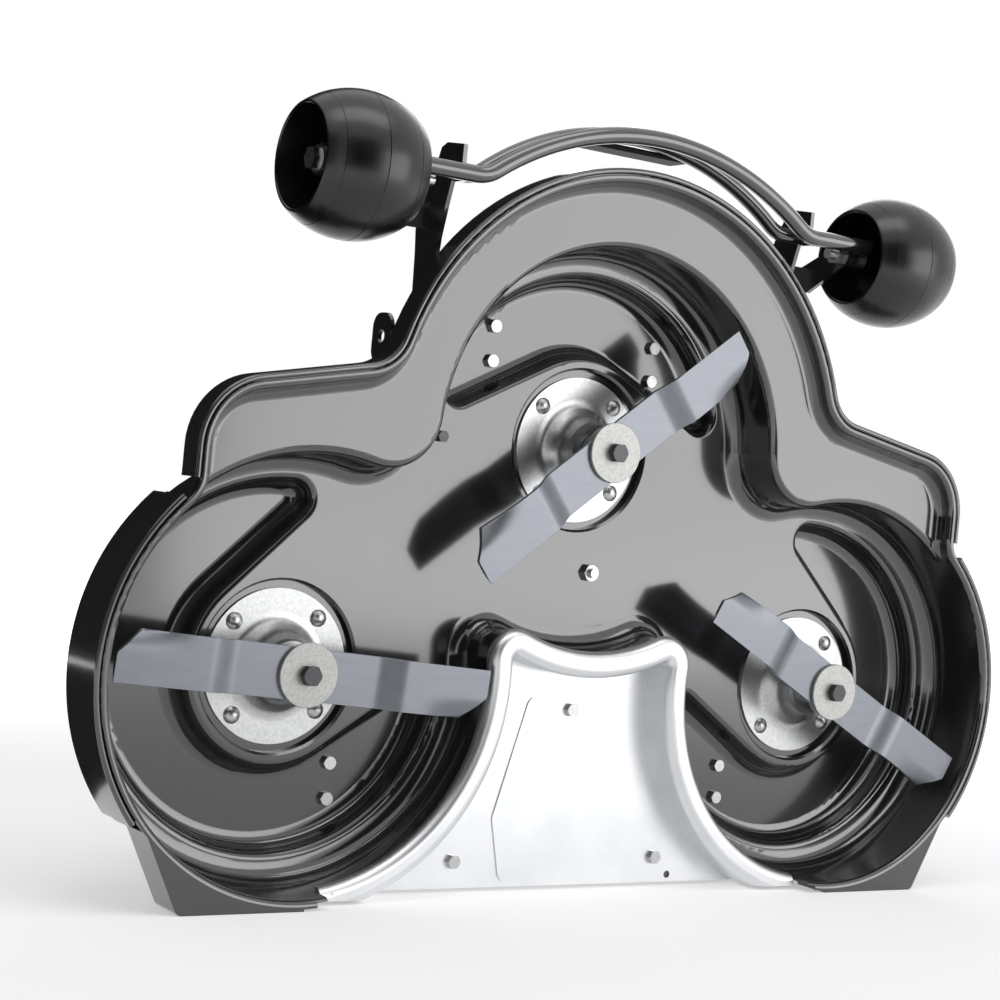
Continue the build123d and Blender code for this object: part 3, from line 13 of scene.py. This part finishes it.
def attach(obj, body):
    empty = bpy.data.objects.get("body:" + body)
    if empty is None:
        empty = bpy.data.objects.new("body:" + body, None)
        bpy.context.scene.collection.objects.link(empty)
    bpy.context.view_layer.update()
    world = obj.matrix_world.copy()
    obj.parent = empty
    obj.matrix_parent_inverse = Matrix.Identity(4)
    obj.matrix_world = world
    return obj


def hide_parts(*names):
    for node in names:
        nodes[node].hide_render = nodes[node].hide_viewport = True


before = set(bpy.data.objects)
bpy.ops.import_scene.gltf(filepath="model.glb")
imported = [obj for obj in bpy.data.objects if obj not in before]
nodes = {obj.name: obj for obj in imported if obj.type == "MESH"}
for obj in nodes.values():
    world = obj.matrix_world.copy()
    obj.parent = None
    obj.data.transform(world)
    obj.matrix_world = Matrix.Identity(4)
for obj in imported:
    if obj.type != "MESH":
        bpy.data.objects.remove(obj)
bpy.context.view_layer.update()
scene = bpy.context.scene
scene.view_settings.view_transform = "Standard"

# %% [markdown]
# Colours are easiest to pick as sRGB hex values, the way an image editor shows them.
# Blender's shaders work with linear light, so one function converts them. A second
# small function adds a node, sets its fields and links its inputs, so every material
# below reads as a short list of what feeds what.

# %% Colour and node helpers


def linear(hex_value):
    """An sRGB hex colour as linear RGBA, by the standard's own curve."""
    channels = [int(hex_value[i:i + 2], 16) / 255 for i in (1, 3, 5)]
    light = [c / 12.92 if c <= 0.04045 else ((c + 0.055) / 1.055) ** 2.4 for c in channels]
    return (*light, 1.0)


def add_node(tree, kind, inputs=None, **fields):
    """Add a node; an input is a value, or a (node, output) pair to link from."""
    node = tree.nodes.new(kind)
    for field, value in fields.items():
        setattr(node, field, value)
    for name, value in (inputs or {}).items():
        socket = node.inputs[name]
        if isinstance(value, tuple) and isinstance(value[0], bpy.types.Node):
            tree.links.new(value[0].outputs[value[1]], socket)
        else:
            socket.default_value = value
    return node


def new_material(name):
    """A material with a plain shader and its output, ready for settings."""
    material = bpy.data.materials.new(name)
    material.use_nodes = True
    tree = material.node_tree
    tree.nodes.clear()
    shader = add_node(tree, "ShaderNodeBsdfPrincipled")
    add_node(tree, "ShaderNodeOutputMaterial", {"Surface": (shader, "BSDF")})
    return material, tree, shader


def dress(material, *names):
    """Give the material to every named solid."""
    for name in names:
        node = nodes[name]
        node.data.materials.clear()
        node.data.materials.append(material)
    print(material.name, "on", len(names), "solids")


# %% [markdown]
# The pressing, brackets and tubes are sheet steel under gloss black powder coat: a dark
# base under a clear, smooth skin that mirrors the studio. The skin has a faint waviness,
# called orange peel, with waves of about 4 mm. It only bends the reflections a little.

# %% Gloss black powder coat
PEEL_WAVE = 0.004
PEEL_HEIGHT = 0.0002
black_coat, tree, shader = new_material("gloss_black_powder_coat")
shader.inputs["Base Color"].default_value = linear("#252526")
shader.inputs["Roughness"].default_value = 0.16
shader.inputs["IOR"].default_value = 1.6
shader.inputs["Coat Weight"].default_value = 1.0
shader.inputs["Coat Roughness"].default_value = 0.1
shader.inputs["Coat IOR"].default_value = 1.6
place = add_node(tree, "ShaderNodeTexCoord")
peel = add_node(
    tree, "ShaderNodeTexNoise",
    {"Vector": (place, "Object"), "Scale": 1 / PEEL_WAVE, "Detail": 1.0},
)
bump = add_node(
    tree, "ShaderNodeBump",
    {"Height": (peel, "Fac"), "Strength": 0.02, "Distance": PEEL_HEIGHT},
)
tree.links.new(bump.outputs["Normal"], shader.inputs["Normal"])
painted = [
    "deck_shell", "skirt_band_front", "skirt_band_left", "skirt_band_right",
    "front_tube", "arched_rod", "wheel_bracket_left", "wheel_bracket_right",
    "hanger_front_left", "hanger_front_right", "hanger_rear_left", "hanger_rear_right",
    "idler_arm",
]
dress(black_coat, *painted)

# %% [markdown]
# The strap under the front arch is the same steel with a thinner, satin coat: flat bar is
# often only dipped. It scatters light, so even its shallow underside stays dark. The dip
# leaves a faint grain of about 2 mm.

# %% Satin black dip
DIP_GRAIN = 0.002
DIP_HEIGHT = 0.0002
satin_dip, tree, shader = new_material("satin_black_dip")
shader.inputs["Base Color"].default_value = linear("#1c1c1d")
shader.inputs["Roughness"].default_value = 0.55
shader.inputs["Specular IOR Level"].default_value = 0.2
place = add_node(tree, "ShaderNodeTexCoord")
grain = add_node(
    tree, "ShaderNodeTexNoise",
    {"Vector": (place, "Object"), "Scale": 1 / DIP_GRAIN, "Detail": 2.0},
)
bump = add_node(
    tree, "ShaderNodeBump",
    {"Height": (grain, "Fac"), "Strength": 0.1, "Distance": DIP_HEIGHT},
)
tree.links.new(bump.outputs["Normal"], shader.inputs["Normal"])
dress(satin_dip, "arch_strap")

# %% [markdown]
# The rear tunnel plate is bright zinc-plated sheet. Zinc plate is a metal with a soft
# shine; it carries faint cloudy streaks from the bath, some centimetres across.

# %% Bright zinc plate
CLOUD = 0.05
zinc_sheet, tree, shader = new_material("bright_zinc_plate")
place = add_node(tree, "ShaderNodeTexCoord")
clouds = add_node(
    tree, "ShaderNodeTexNoise",
    {"Vector": (place, "Object"), "Scale": 1 / CLOUD, "Detail": 3.0},
)
tone = add_node(tree, "ShaderNodeValToRGB", {"Fac": (clouds, "Fac")})
tone.color_ramp.elements[0].position = 0.3
tone.color_ramp.elements[0].color = linear("#d9dbdd")
tone.color_ramp.elements[1].position = 0.7
tone.color_ramp.elements[1].color = linear("#e3e4e6")
tree.links.new(tone.outputs["Color"], shader.inputs["Base Color"])
shader.inputs["Metallic"].default_value = 1.0
shader.inputs["Roughness"].default_value = 0.36
dress(zinc_sheet, "rear_plate")

# %% [markdown]
# The dome flanges, the bolts and the axle hardware are zinc plated too, but the plating
# is thicker and mottled: grains of a few millimetres, lighter and darker.

# %% Mottled zinc
SPINDLES = ("left", "center", "right")
GRAIN = 0.003
zinc_cast, tree, shader = new_material("mottled_zinc_plate")
place = add_node(tree, "ShaderNodeTexCoord")
grains = add_node(
    tree, "ShaderNodeTexNoise",
    {"Vector": (place, "Object"), "Scale": 1 / GRAIN, "Detail": 4.0, "Roughness": 0.6},
)
tone = add_node(tree, "ShaderNodeValToRGB", {"Fac": (grains, "Fac")})
tone.color_ramp.elements[0].position = 0.35
tone.color_ramp.elements[0].color = linear("#b0b1b2")
tone.color_ramp.elements[1].position = 0.65
tone.color_ramp.elements[1].color = linear("#c0c1c2")
tree.links.new(tone.outputs["Color"], shader.inputs["Base Color"])
shader.inputs["Metallic"].default_value = 1.0
shader.inputs["Roughness"].default_value = 0.33
zinc_pieces = [
    "flange_bolts", "plate_bolts", "hanger_bolts", "idler_pivot_bolt",
    "axle_nuts", "axle_spacers", "axle_bolt_left", "axle_bolt_right",
]
zinc_pieces += [f"spindle_housing_{name}" for name in SPINDLES]
dress(zinc_cast, *zinc_pieces)

# %% [markdown]
# The blade washers have the same grains, but their zinc is duller and a little warmer,
# so they stand out as matt rings before the flanges.

# %% Matt zinc washers
washer_zinc, tree, shader = new_material("matt_zinc_washer")
place = add_node(tree, "ShaderNodeTexCoord")
grains = add_node(
    tree, "ShaderNodeTexNoise",
    {"Vector": (place, "Object"), "Scale": 1 / GRAIN, "Detail": 5.0, "Roughness": 0.7},
)
tone = add_node(tree, "ShaderNodeValToRGB", {"Fac": (grains, "Fac")})
tone.color_ramp.elements[0].position = 0.35
tone.color_ramp.elements[0].color = linear("#a6a6a4")
tone.color_ramp.elements[1].position = 0.65
tone.color_ramp.elements[1].color = linear("#bcbcb9")
tree.links.new(tone.outputs["Color"], shader.inputs["Base Color"])
shader.inputs["Metallic"].default_value = 0.8
shader.inputs["Roughness"].default_value = 0.5
dress(washer_zinc, *[f"blade_washer_{name}" for name in SPINDLES])

# %% [markdown]
# Blades are hardened spring steel with a thin grey-blue lacquer. It is almost a flat
# tone, with a soft shine along the bends. Rolling leaves faint streaks in the strip, about
# 12 mm wide and far longer, so the noise is stretched along X, near enough for all three.

# %% Blade steel
STREAK = 0.012
STREAK_STRETCH = 4.0
blade_steel, tree, shader = new_material("lacquered_blade_steel")
place = add_node(tree, "ShaderNodeTexCoord")
along = add_node(
    tree, "ShaderNodeMapping",
    {"Vector": (place, "Object"), "Scale": (1 / STREAK_STRETCH, 1.0, 1.0)},
)
streaks = add_node(
    tree, "ShaderNodeTexNoise",
    {"Vector": (along, "Vector"), "Scale": 1 / STREAK, "Detail": 4.0, "Roughness": 0.6},
)
tone = add_node(tree, "ShaderNodeValToRGB", {"Fac": (streaks, "Fac")})
tone.color_ramp.elements[0].position = 0.3
tone.color_ramp.elements[0].color = linear("#7c7f86")
tone.color_ramp.elements[1].position = 0.7
tone.color_ramp.elements[1].color = linear("#84878d")
tree.links.new(tone.outputs["Color"], shader.inputs["Base Color"])
rough = add_node(
    tree, "ShaderNodeMapRange",
    {"Value": (streaks, "Fac"), "To Min": 0.33, "To Max": 0.4},
)
tree.links.new(rough.outputs["Result"], shader.inputs["Roughness"])
shader.inputs["Metallic"].default_value = 0.7
print(blade_steel.name, "is ready for the blades")

# %% [markdown]
# A blade is a strip of steel, stepped towards the ground on both sides of its hub. At each
# tip the trailing edge is bent up into a wing that lifts the grass, its corner is clipped,
# and the leading edge is ground sharp. These are its sizes in metres; places along the
# strip are measured from the hub, and depths from the deck's rim.

# %% Blade sizes
RIM_Y = -0.075
BLADE_LENGTH = 0.397
BLADE_WIDTH = 0.050
STRIP = 0.0045
FACE_DEPTH = 0.026
STEP_DEPTH = 0.010
STEP_FROM = 0.075
STEP_TO = 0.105
WING_LENGTH = 0.078
WING_WIDTH = 0.020
WING_RISE = 0.012
GRIND_FROM = 0.1135
GRIND_WIDTH = 0.012
GRIND_SHARE = 0.9
CLIP_FROM = 0.150
CLIP_ALONG = 0.024
CLIP_ACROSS = 0.023
print("blade", BLADE_LENGTH, "x", BLADE_WIDTH, "x", STRIP, "m")

# %% [markdown]
# The corners are drawn in and the bends pressed in by moving the points of a flat strip.
# One function moves a point along the strip, the other gives the depths of its two faces.
# One end is the other turned half round, so `lead` changes its sign with the end.

# %% Blade form


def eased(t):
    """A soft step from 0 to 1."""
    t = min(max(t, 0.0), 1.0)
    return t * t * (3 - 2 * t)


def drawn_in(along, across):
    """The place along the strip once its trailing corner is clipped."""
    lead = across if along >= 0 else -across
    cut = CLIP_ALONG * max(0.0, (CLIP_ACROSS - BLADE_WIDTH / 2 - lead) / CLIP_ACROSS)
    past = max(0.0, abs(along) - CLIP_FROM) / (BLADE_LENGTH / 2 - CLIP_FROM)
    return along - math.copysign(past * cut, along)


def blade_depths(along, across):
    """Depths of the near and the far face below the rim, at one place of the strip."""
    out = abs(along)
    lead = across if along >= 0 else -across
    near = FACE_DEPTH - STEP_DEPTH * eased((out - STEP_FROM) / (STEP_TO - STEP_FROM))
    wing = max(0.0, (WING_WIDTH - BLADE_WIDTH / 2 - lead) / WING_WIDTH)
    near += WING_RISE * wing**2 * eased((out - BLADE_LENGTH / 2 + WING_LENGTH) / WING_LENGTH)
    ground = max(0.0, (lead - BLADE_WIDTH / 2 + GRIND_WIDTH) / GRIND_WIDTH)
    ground *= GRIND_SHARE * eased((out - STEP_TO) / (GRIND_FROM - STEP_TO))
    return near, near + STRIP * (1 - ground)


print("depths at the hub", blade_depths(0.0, 0.0))
print("depths at the tip", blade_depths(BLADE_LENGTH / 2, 0.0))

# %% [markdown]
# A flat grid is the strip, and one extrude gives it its thickness. Then every point goes
# to its place round the spindle, and a small bevel breaks the sharp edges.

# %% Blades
GRID_ALONG = 160
GRID_ACROSS = 20
EDGE_BREAK = 0.0003
SHARP_ANGLE = math.radians(50)
SMOOTH_ANGLE = math.radians(35)


def mower_blade(side, hub_x, hub_z, degrees):
    """One blade, turned by its angle round the spindle at (hub_x, hub_z)."""
    bpy.ops.object.select_all(action="DESELECT")
    bpy.ops.mesh.primitive_grid_add(
        x_subdivisions=GRID_ALONG, y_subdivisions=GRID_ACROSS, size=1.0,
    )
    piece = bpy.context.active_object
    piece.name = f"mower_blade_{side}"
    bpy.ops.object.mode_set(mode="EDIT")
    bpy.ops.transform.resize(value=(BLADE_LENGTH, BLADE_WIDTH, 1.0))
    bpy.ops.mesh.select_all(action="SELECT")
    bpy.ops.mesh.extrude_region_move(TRANSFORM_OT_translate={"value": (0.0, 0.0, STRIP)})
    bpy.ops.object.mode_set(mode="OBJECT")
    cos, sin = math.cos(math.radians(degrees)), math.sin(math.radians(degrees))
    for point in piece.data.vertices:
        along, across, lift = point.co
        along = drawn_in(along, across)
        near, far = blade_depths(along, across)
        depth = far if lift > STRIP / 2 else near
        x = hub_x + along * cos - across * sin
        z = hub_z + along * sin + across * cos
        point.co = (x, RIM_Y + depth, z)
    bpy.ops.object.mode_set(mode="EDIT")
    bpy.ops.mesh.select_all(action="SELECT")
    bpy.ops.mesh.normals_make_consistent(inside=False)
    bpy.ops.object.mode_set(mode="OBJECT")
    edge = piece.modifiers.new("edge", "BEVEL")
    edge.width = EDGE_BREAK
    edge.segments = 1
    edge.limit_method = "ANGLE"
    edge.angle_limit = SHARP_ANGLE
    bpy.ops.object.modifier_apply(modifier="edge")
    bpy.ops.object.shade_smooth_by_angle(angle=SMOOTH_ANGLE)
    piece.data.materials.append(blade_steel)
    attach(piece, f"spindle_{side}")
    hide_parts(f"blade_{side}")
    print(piece.name, len(piece.data.polygons), "faces")


mower_blade("left", hub_x=-0.331, hub_z=0.219, degrees=-4.0)
mower_blade("center", hub_x=0.0, hub_z=0.4576, degrees=38.0)
mower_blade("right", hub_x=0.331, hub_z=0.219, degrees=-28.0)

# %% [markdown]
# Hardened bolts and nuts come dark from the oxide bath, a little uneven from speck to
# speck.

# %% Dark oxide
SPECKLE = 0.002
dark_oxide, tree, shader = new_material("dark_oxide_steel")
place = add_node(tree, "ShaderNodeTexCoord")
speckle = add_node(
    tree, "ShaderNodeTexNoise",
    {"Vector": (place, "Object"), "Scale": 1 / SPECKLE, "Detail": 3.0},
)
tone = add_node(tree, "ShaderNodeValToRGB", {"Fac": (speckle, "Fac")})
tone.color_ramp.elements[0].color = linear("#3a3b3d")
tone.color_ramp.elements[1].color = linear("#5a5b5d")
tree.links.new(tone.outputs["Color"], shader.inputs["Base Color"])
shader.inputs["Metallic"].default_value = 0.9
shader.inputs["Roughness"].default_value = 0.38
dark_pieces = ["flange_nuts", "hanger_nuts", "cover_studs", "idler_bolt", "spring_post"]
for name in SPINDLES:
    dark_pieces += [f"blade_bolt_{name}", f"pulley_nut_{name}"]
dress(dark_oxide, *dark_pieces)

# %% [markdown]
# Shafts, pulleys, bearings and the spring are plain bright steel. A lathe leaves rings: the
# noise is fine along Y, the axis of all the shafts, and coarse across it. A real feed is
# 0.2 mm; it is drawn at 0.8 mm, as fine as the render can show.

# %% Turned steel
FEED = 0.0008
RING_STRETCH = 50.0
turned_steel, tree, shader = new_material("turned_steel")
place = add_node(tree, "ShaderNodeTexCoord")
rings = add_node(
    tree, "ShaderNodeMapping",
    {"Vector": (place, "Object"), "Scale": (1 / RING_STRETCH, 1.0, 1 / RING_STRETCH)},
)
feed = add_node(
    tree, "ShaderNodeTexNoise",
    {"Vector": (rings, "Vector"), "Scale": 1 / FEED, "Detail": 2.0},
)
tone = add_node(tree, "ShaderNodeValToRGB", {"Fac": (feed, "Fac")})
tone.color_ramp.elements[0].position = 0.3
tone.color_ramp.elements[0].color = linear("#9a9c9e")
tone.color_ramp.elements[1].position = 0.7
tone.color_ramp.elements[1].color = linear("#b6b8ba")
tree.links.new(tone.outputs["Color"], shader.inputs["Base Color"])
shader.inputs["Metallic"].default_value = 1.0
shader.inputs["Roughness"].default_value = 0.32
turned_pieces = ["idler_pulley", "idler_spring"]
for name in SPINDLES:
    turned_pieces += [f"bearings_{name}", f"spindle_shaft_{name}", f"spindle_pulley_{name}"]
dress(turned_steel, *turned_pieces)

# %% [markdown]
# The gauge wheels are moulded polyethylene, black and shiny. Their skin is not quite even:
# it is a little duller in patches of a few centimetres, which softens the highlights.

# %% Moulded wheels
PATCH = 0.03
wheel_plastic, tree, shader = new_material("moulded_black_wheel")
shader.inputs["Base Color"].default_value = linear("#0f0f10")
shader.inputs["IOR"].default_value = 1.54
place = add_node(tree, "ShaderNodeTexCoord")
patches = add_node(
    tree, "ShaderNodeTexNoise",
    {"Vector": (place, "Object"), "Scale": 1 / PATCH, "Detail": 3.0},
)
rough = add_node(
    tree, "ShaderNodeMapRange",
    {"Value": (patches, "Fac"), "To Min": 0.2, "To Max": 0.34},
)
tree.links.new(rough.outputs["Result"], shader.inputs["Roughness"])
dress(wheel_plastic, "gauge_wheel_left", "gauge_wheel_right")

# %% [markdown]
# The belt covers are a matt moulding with a fine leather-like grain of about 1.5 mm.

# %% Grained covers
LEATHER = 0.0015
LEATHER_HEIGHT = 0.0002
cover_plastic, tree, shader = new_material("grained_black_cover")
shader.inputs["Base Color"].default_value = linear("#1d1d1f")
shader.inputs["Roughness"].default_value = 0.5
place = add_node(tree, "ShaderNodeTexCoord")
grain = add_node(
    tree, "ShaderNodeTexVoronoi",
    {"Vector": (place, "Object"), "Scale": 1 / LEATHER},
)
bump = add_node(
    tree, "ShaderNodeBump",
    {"Height": (grain, "Distance"), "Strength": 0.35, "Distance": LEATHER_HEIGHT},
)
tree.links.new(bump.outputs["Normal"], shader.inputs["Normal"])
dress(cover_plastic, "belt_cover_left", "belt_cover_right")

# %% [markdown]
# The floor is a broad white sheet. Its diffuse part keeps the soft shadow under the feet.
# A glow, seen only by the camera and in reflections, lifts the paper to white, and it grows
# with the distance, so that the floor has no edge and melts into the background.

# %% Floor
FLOOR_SIZE = 24.0
GLOW_NEAR = 0.42
GLOW_FAR = 1.0
GLOW_FROM = 0.7
GLOW_TO = 2.4
WHITE = (1.0, 1.0, 1.0, 1.0)


def seen_directly(tree):
    """1 for a ray from the camera, a mirror or clear glass, and 0 for one that only lights."""
    path = add_node(tree, "ShaderNodeLightPath")
    sharp = add_node(
        tree, "ShaderNodeMath",
        {0: (path, "Is Camera Ray"), 1: (path, "Is Glossy Ray")}, operation="MAXIMUM",
    )
    return add_node(
        tree, "ShaderNodeMath",
        {0: (sharp, "Value"), 1: (path, "Is Transmission Ray")}, operation="MAXIMUM",
    )


bpy.ops.object.select_all(action="DESELECT")
bpy.ops.mesh.primitive_plane_add(size=FLOOR_SIZE, location=(0.0, 0.0, 0.0))
floor = bpy.context.active_object
floor.name = "floor"
white_floor = bpy.data.materials.new("white_paper_floor")
white_floor.use_nodes = True
tree = white_floor.node_tree
tree.nodes.clear()
paper = add_node(tree, "ShaderNodeBsdfDiffuse", {"Color": linear("#f4f4f4")})
place = add_node(tree, "ShaderNodeTexCoord")
reach = add_node(
    tree, "ShaderNodeVectorMath", {"Vector": (place, "Object")}, operation="LENGTH",
)
rise = add_node(
    tree, "ShaderNodeMapRange",
    {
        "Value": (reach, "Value"), "From Min": GLOW_FROM, "From Max": GLOW_TO,
        "To Min": GLOW_NEAR, "To Max": GLOW_FAR,
    },
    interpolation_type="SMOOTHSTEP",
)
glow = add_node(tree, "ShaderNodeEmission", {"Color": WHITE, "Strength": (rise, "Result")})
sheet = add_node(tree, "ShaderNodeAddShader")
tree.links.new(paper.outputs["BSDF"], sheet.inputs[0])
tree.links.new(glow.outputs["Emission"], sheet.inputs[1])
seen = add_node(tree, "ShaderNodeMixShader", {"Fac": (seen_directly(tree), "Value")})
tree.links.new(paper.outputs["BSDF"], seen.inputs[1])
tree.links.new(sheet.outputs["Shader"], seen.inputs[2])
add_node(tree, "ShaderNodeOutputMaterial", {"Surface": (seen, "Shader")})
floor.data.materials.append(white_floor)
print(floor.name, "of", FLOOR_SIZE, "m")

# %% [markdown]
# The world is a soft grey room for the light it sends, and plain white where it is seen,
# by the camera or in a reflection.

# %% World
ROOM_LIGHT = 0.35
world = bpy.data.worlds.new("studio")
scene.world = world
world.use_nodes = True
tree = world.node_tree
tree.nodes.clear()
room = add_node(tree, "ShaderNodeBackground", {"Color": WHITE, "Strength": ROOM_LIGHT})
white = add_node(tree, "ShaderNodeBackground", {"Color": WHITE, "Strength": 1.0})
seen = add_node(tree, "ShaderNodeMixShader", {"Fac": (seen_directly(tree), "Value")})
tree.links.new(room.outputs["Background"], seen.inputs[1])
tree.links.new(white.outputs["Background"], seen.inputs[2])
add_node(tree, "ShaderNodeOutputWorld", {"Surface": (seen, "Shader")})
print("world", world.name, "with", len(tree.nodes), "nodes")

# %% [markdown]
# Gloss black shows what stands around it, so the size and place of the softboxes matter
# more than their power. The one on the right stands in the mirror of the deck's flat
# ceiling and turns the black paint grey.

# %% Softboxes
MIDDLE = (0.0, 0.0, 0.4)


def turned_to(place, aim):
    """The turn that points a lamp or a card at place towards aim."""
    return (Vector(aim) - Vector(place)).to_track_quat("-Z", "Y").to_euler()


def softbox(name, place, aim, width, height, radiance):
    """A rectangular area lamp whose face shines with the given radiance."""
    lamp = bpy.data.lights.new(name, "AREA")
    lamp.shape = "RECTANGLE"
    lamp.size = width
    lamp.size_y = height
    lamp.energy = radiance * math.pi * width * height
    box = bpy.data.objects.new(name, lamp)
    scene.collection.objects.link(box)
    box.location = place
    box.rotation_euler = turned_to(place, aim)
    print(name, round(lamp.energy, 1), "W")


softbox("softbox_right", (1.75, -2.55, 0.75), MIDDLE, width=1.9, height=1.9, radiance=2.6)
softbox("softbox_top", (-0.2, -0.7, 2.7), MIDDLE, width=2.2, height=0.9, radiance=2.2)
softbox("softbox_back", (1.9, 2.4, 1.8), MIDDLE, width=2.0, height=1.5, radiance=1.4)

# %% [markdown]
# Black cards do the opposite: a photographer stands them just out of the picture, where a
# black edge would otherwise mirror white. One of them lies on the floor.

# %% Black cards
ON_FLOOR = (-1.0, 0.95, 0.02)
UNDER_FLOOR = (-1.0, 0.95, -1.0)
card_black, tree, shader = new_material("black_card")
shader.inputs["Base Color"].default_value = linear("#050505")
shader.inputs["Roughness"].default_value = 1.0


def black_card(name, place, aim, width, height):
    """A black card that only reflections see: it takes no light from the object."""
    bpy.ops.object.select_all(action="DESELECT")
    bpy.ops.mesh.primitive_plane_add(size=1.0, location=place, rotation=turned_to(place, aim))
    card = bpy.context.active_object
    card.name = name
    card.scale = (width, height, 1.0)
    card.data.materials.append(card_black)
    card.visible_camera = False
    card.visible_diffuse = False
    card.visible_shadow = False
    print(name, width, "x", height, "m")


black_card("card_left", (-2.0, 1.7, 1.0), MIDDLE, width=3.2, height=3.0)
black_card("card_behind", (0.1, 2.7, 1.75), MIDDLE, width=3.4, height=2.2)
black_card("card_low", ON_FLOOR, UNDER_FLOOR, width=1.4, height=1.6)
black_card("card_side", (-2.6, -1.2, 1.0), MIDDLE, width=2.4, height=3.0)
black_card("card_front", (-0.55, -3.0, 1.1), MIDDLE, width=2.2, height=2.8)

# %% [markdown]
# The camera stands to the left of the deck, a little rolled, with a long lens. Its
# place and turn were found by matching known points of the deck with the photograph.

# %% Camera
CAMERA_PLACE = Vector((-1.2922, -1.8073, 0.4215))
YAW = math.radians(33.378)
PITCH = math.radians(-0.611)
ROLL = math.radians(5.484)
SENSOR_MM = 36.0
FOCAL_MM = 76.47
lens = bpy.data.cameras.new("camera")
lens.sensor_width = SENSOR_MM
lens.lens = FOCAL_MM
camera = bpy.data.objects.new("camera", lens)
scene.collection.objects.link(camera)
ahead = math.cos(PITCH)
forward = Vector((math.sin(YAW) * ahead, math.cos(YAW) * ahead, math.sin(PITCH)))
level = Vector((math.cos(YAW), -math.sin(YAW), 0.0))
upright = level.cross(forward)
right = level * math.cos(ROLL) + upright * math.sin(ROLL)
up = upright * math.cos(ROLL) - level * math.sin(ROLL)
turn = Matrix((right, up, -forward)).transposed().to_4x4()
camera.matrix_world = Matrix.Translation(CAMERA_PLACE) @ turn
scene.camera = camera
print("camera", tuple(CAMERA_PLACE), "lens", FOCAL_MM, "mm")
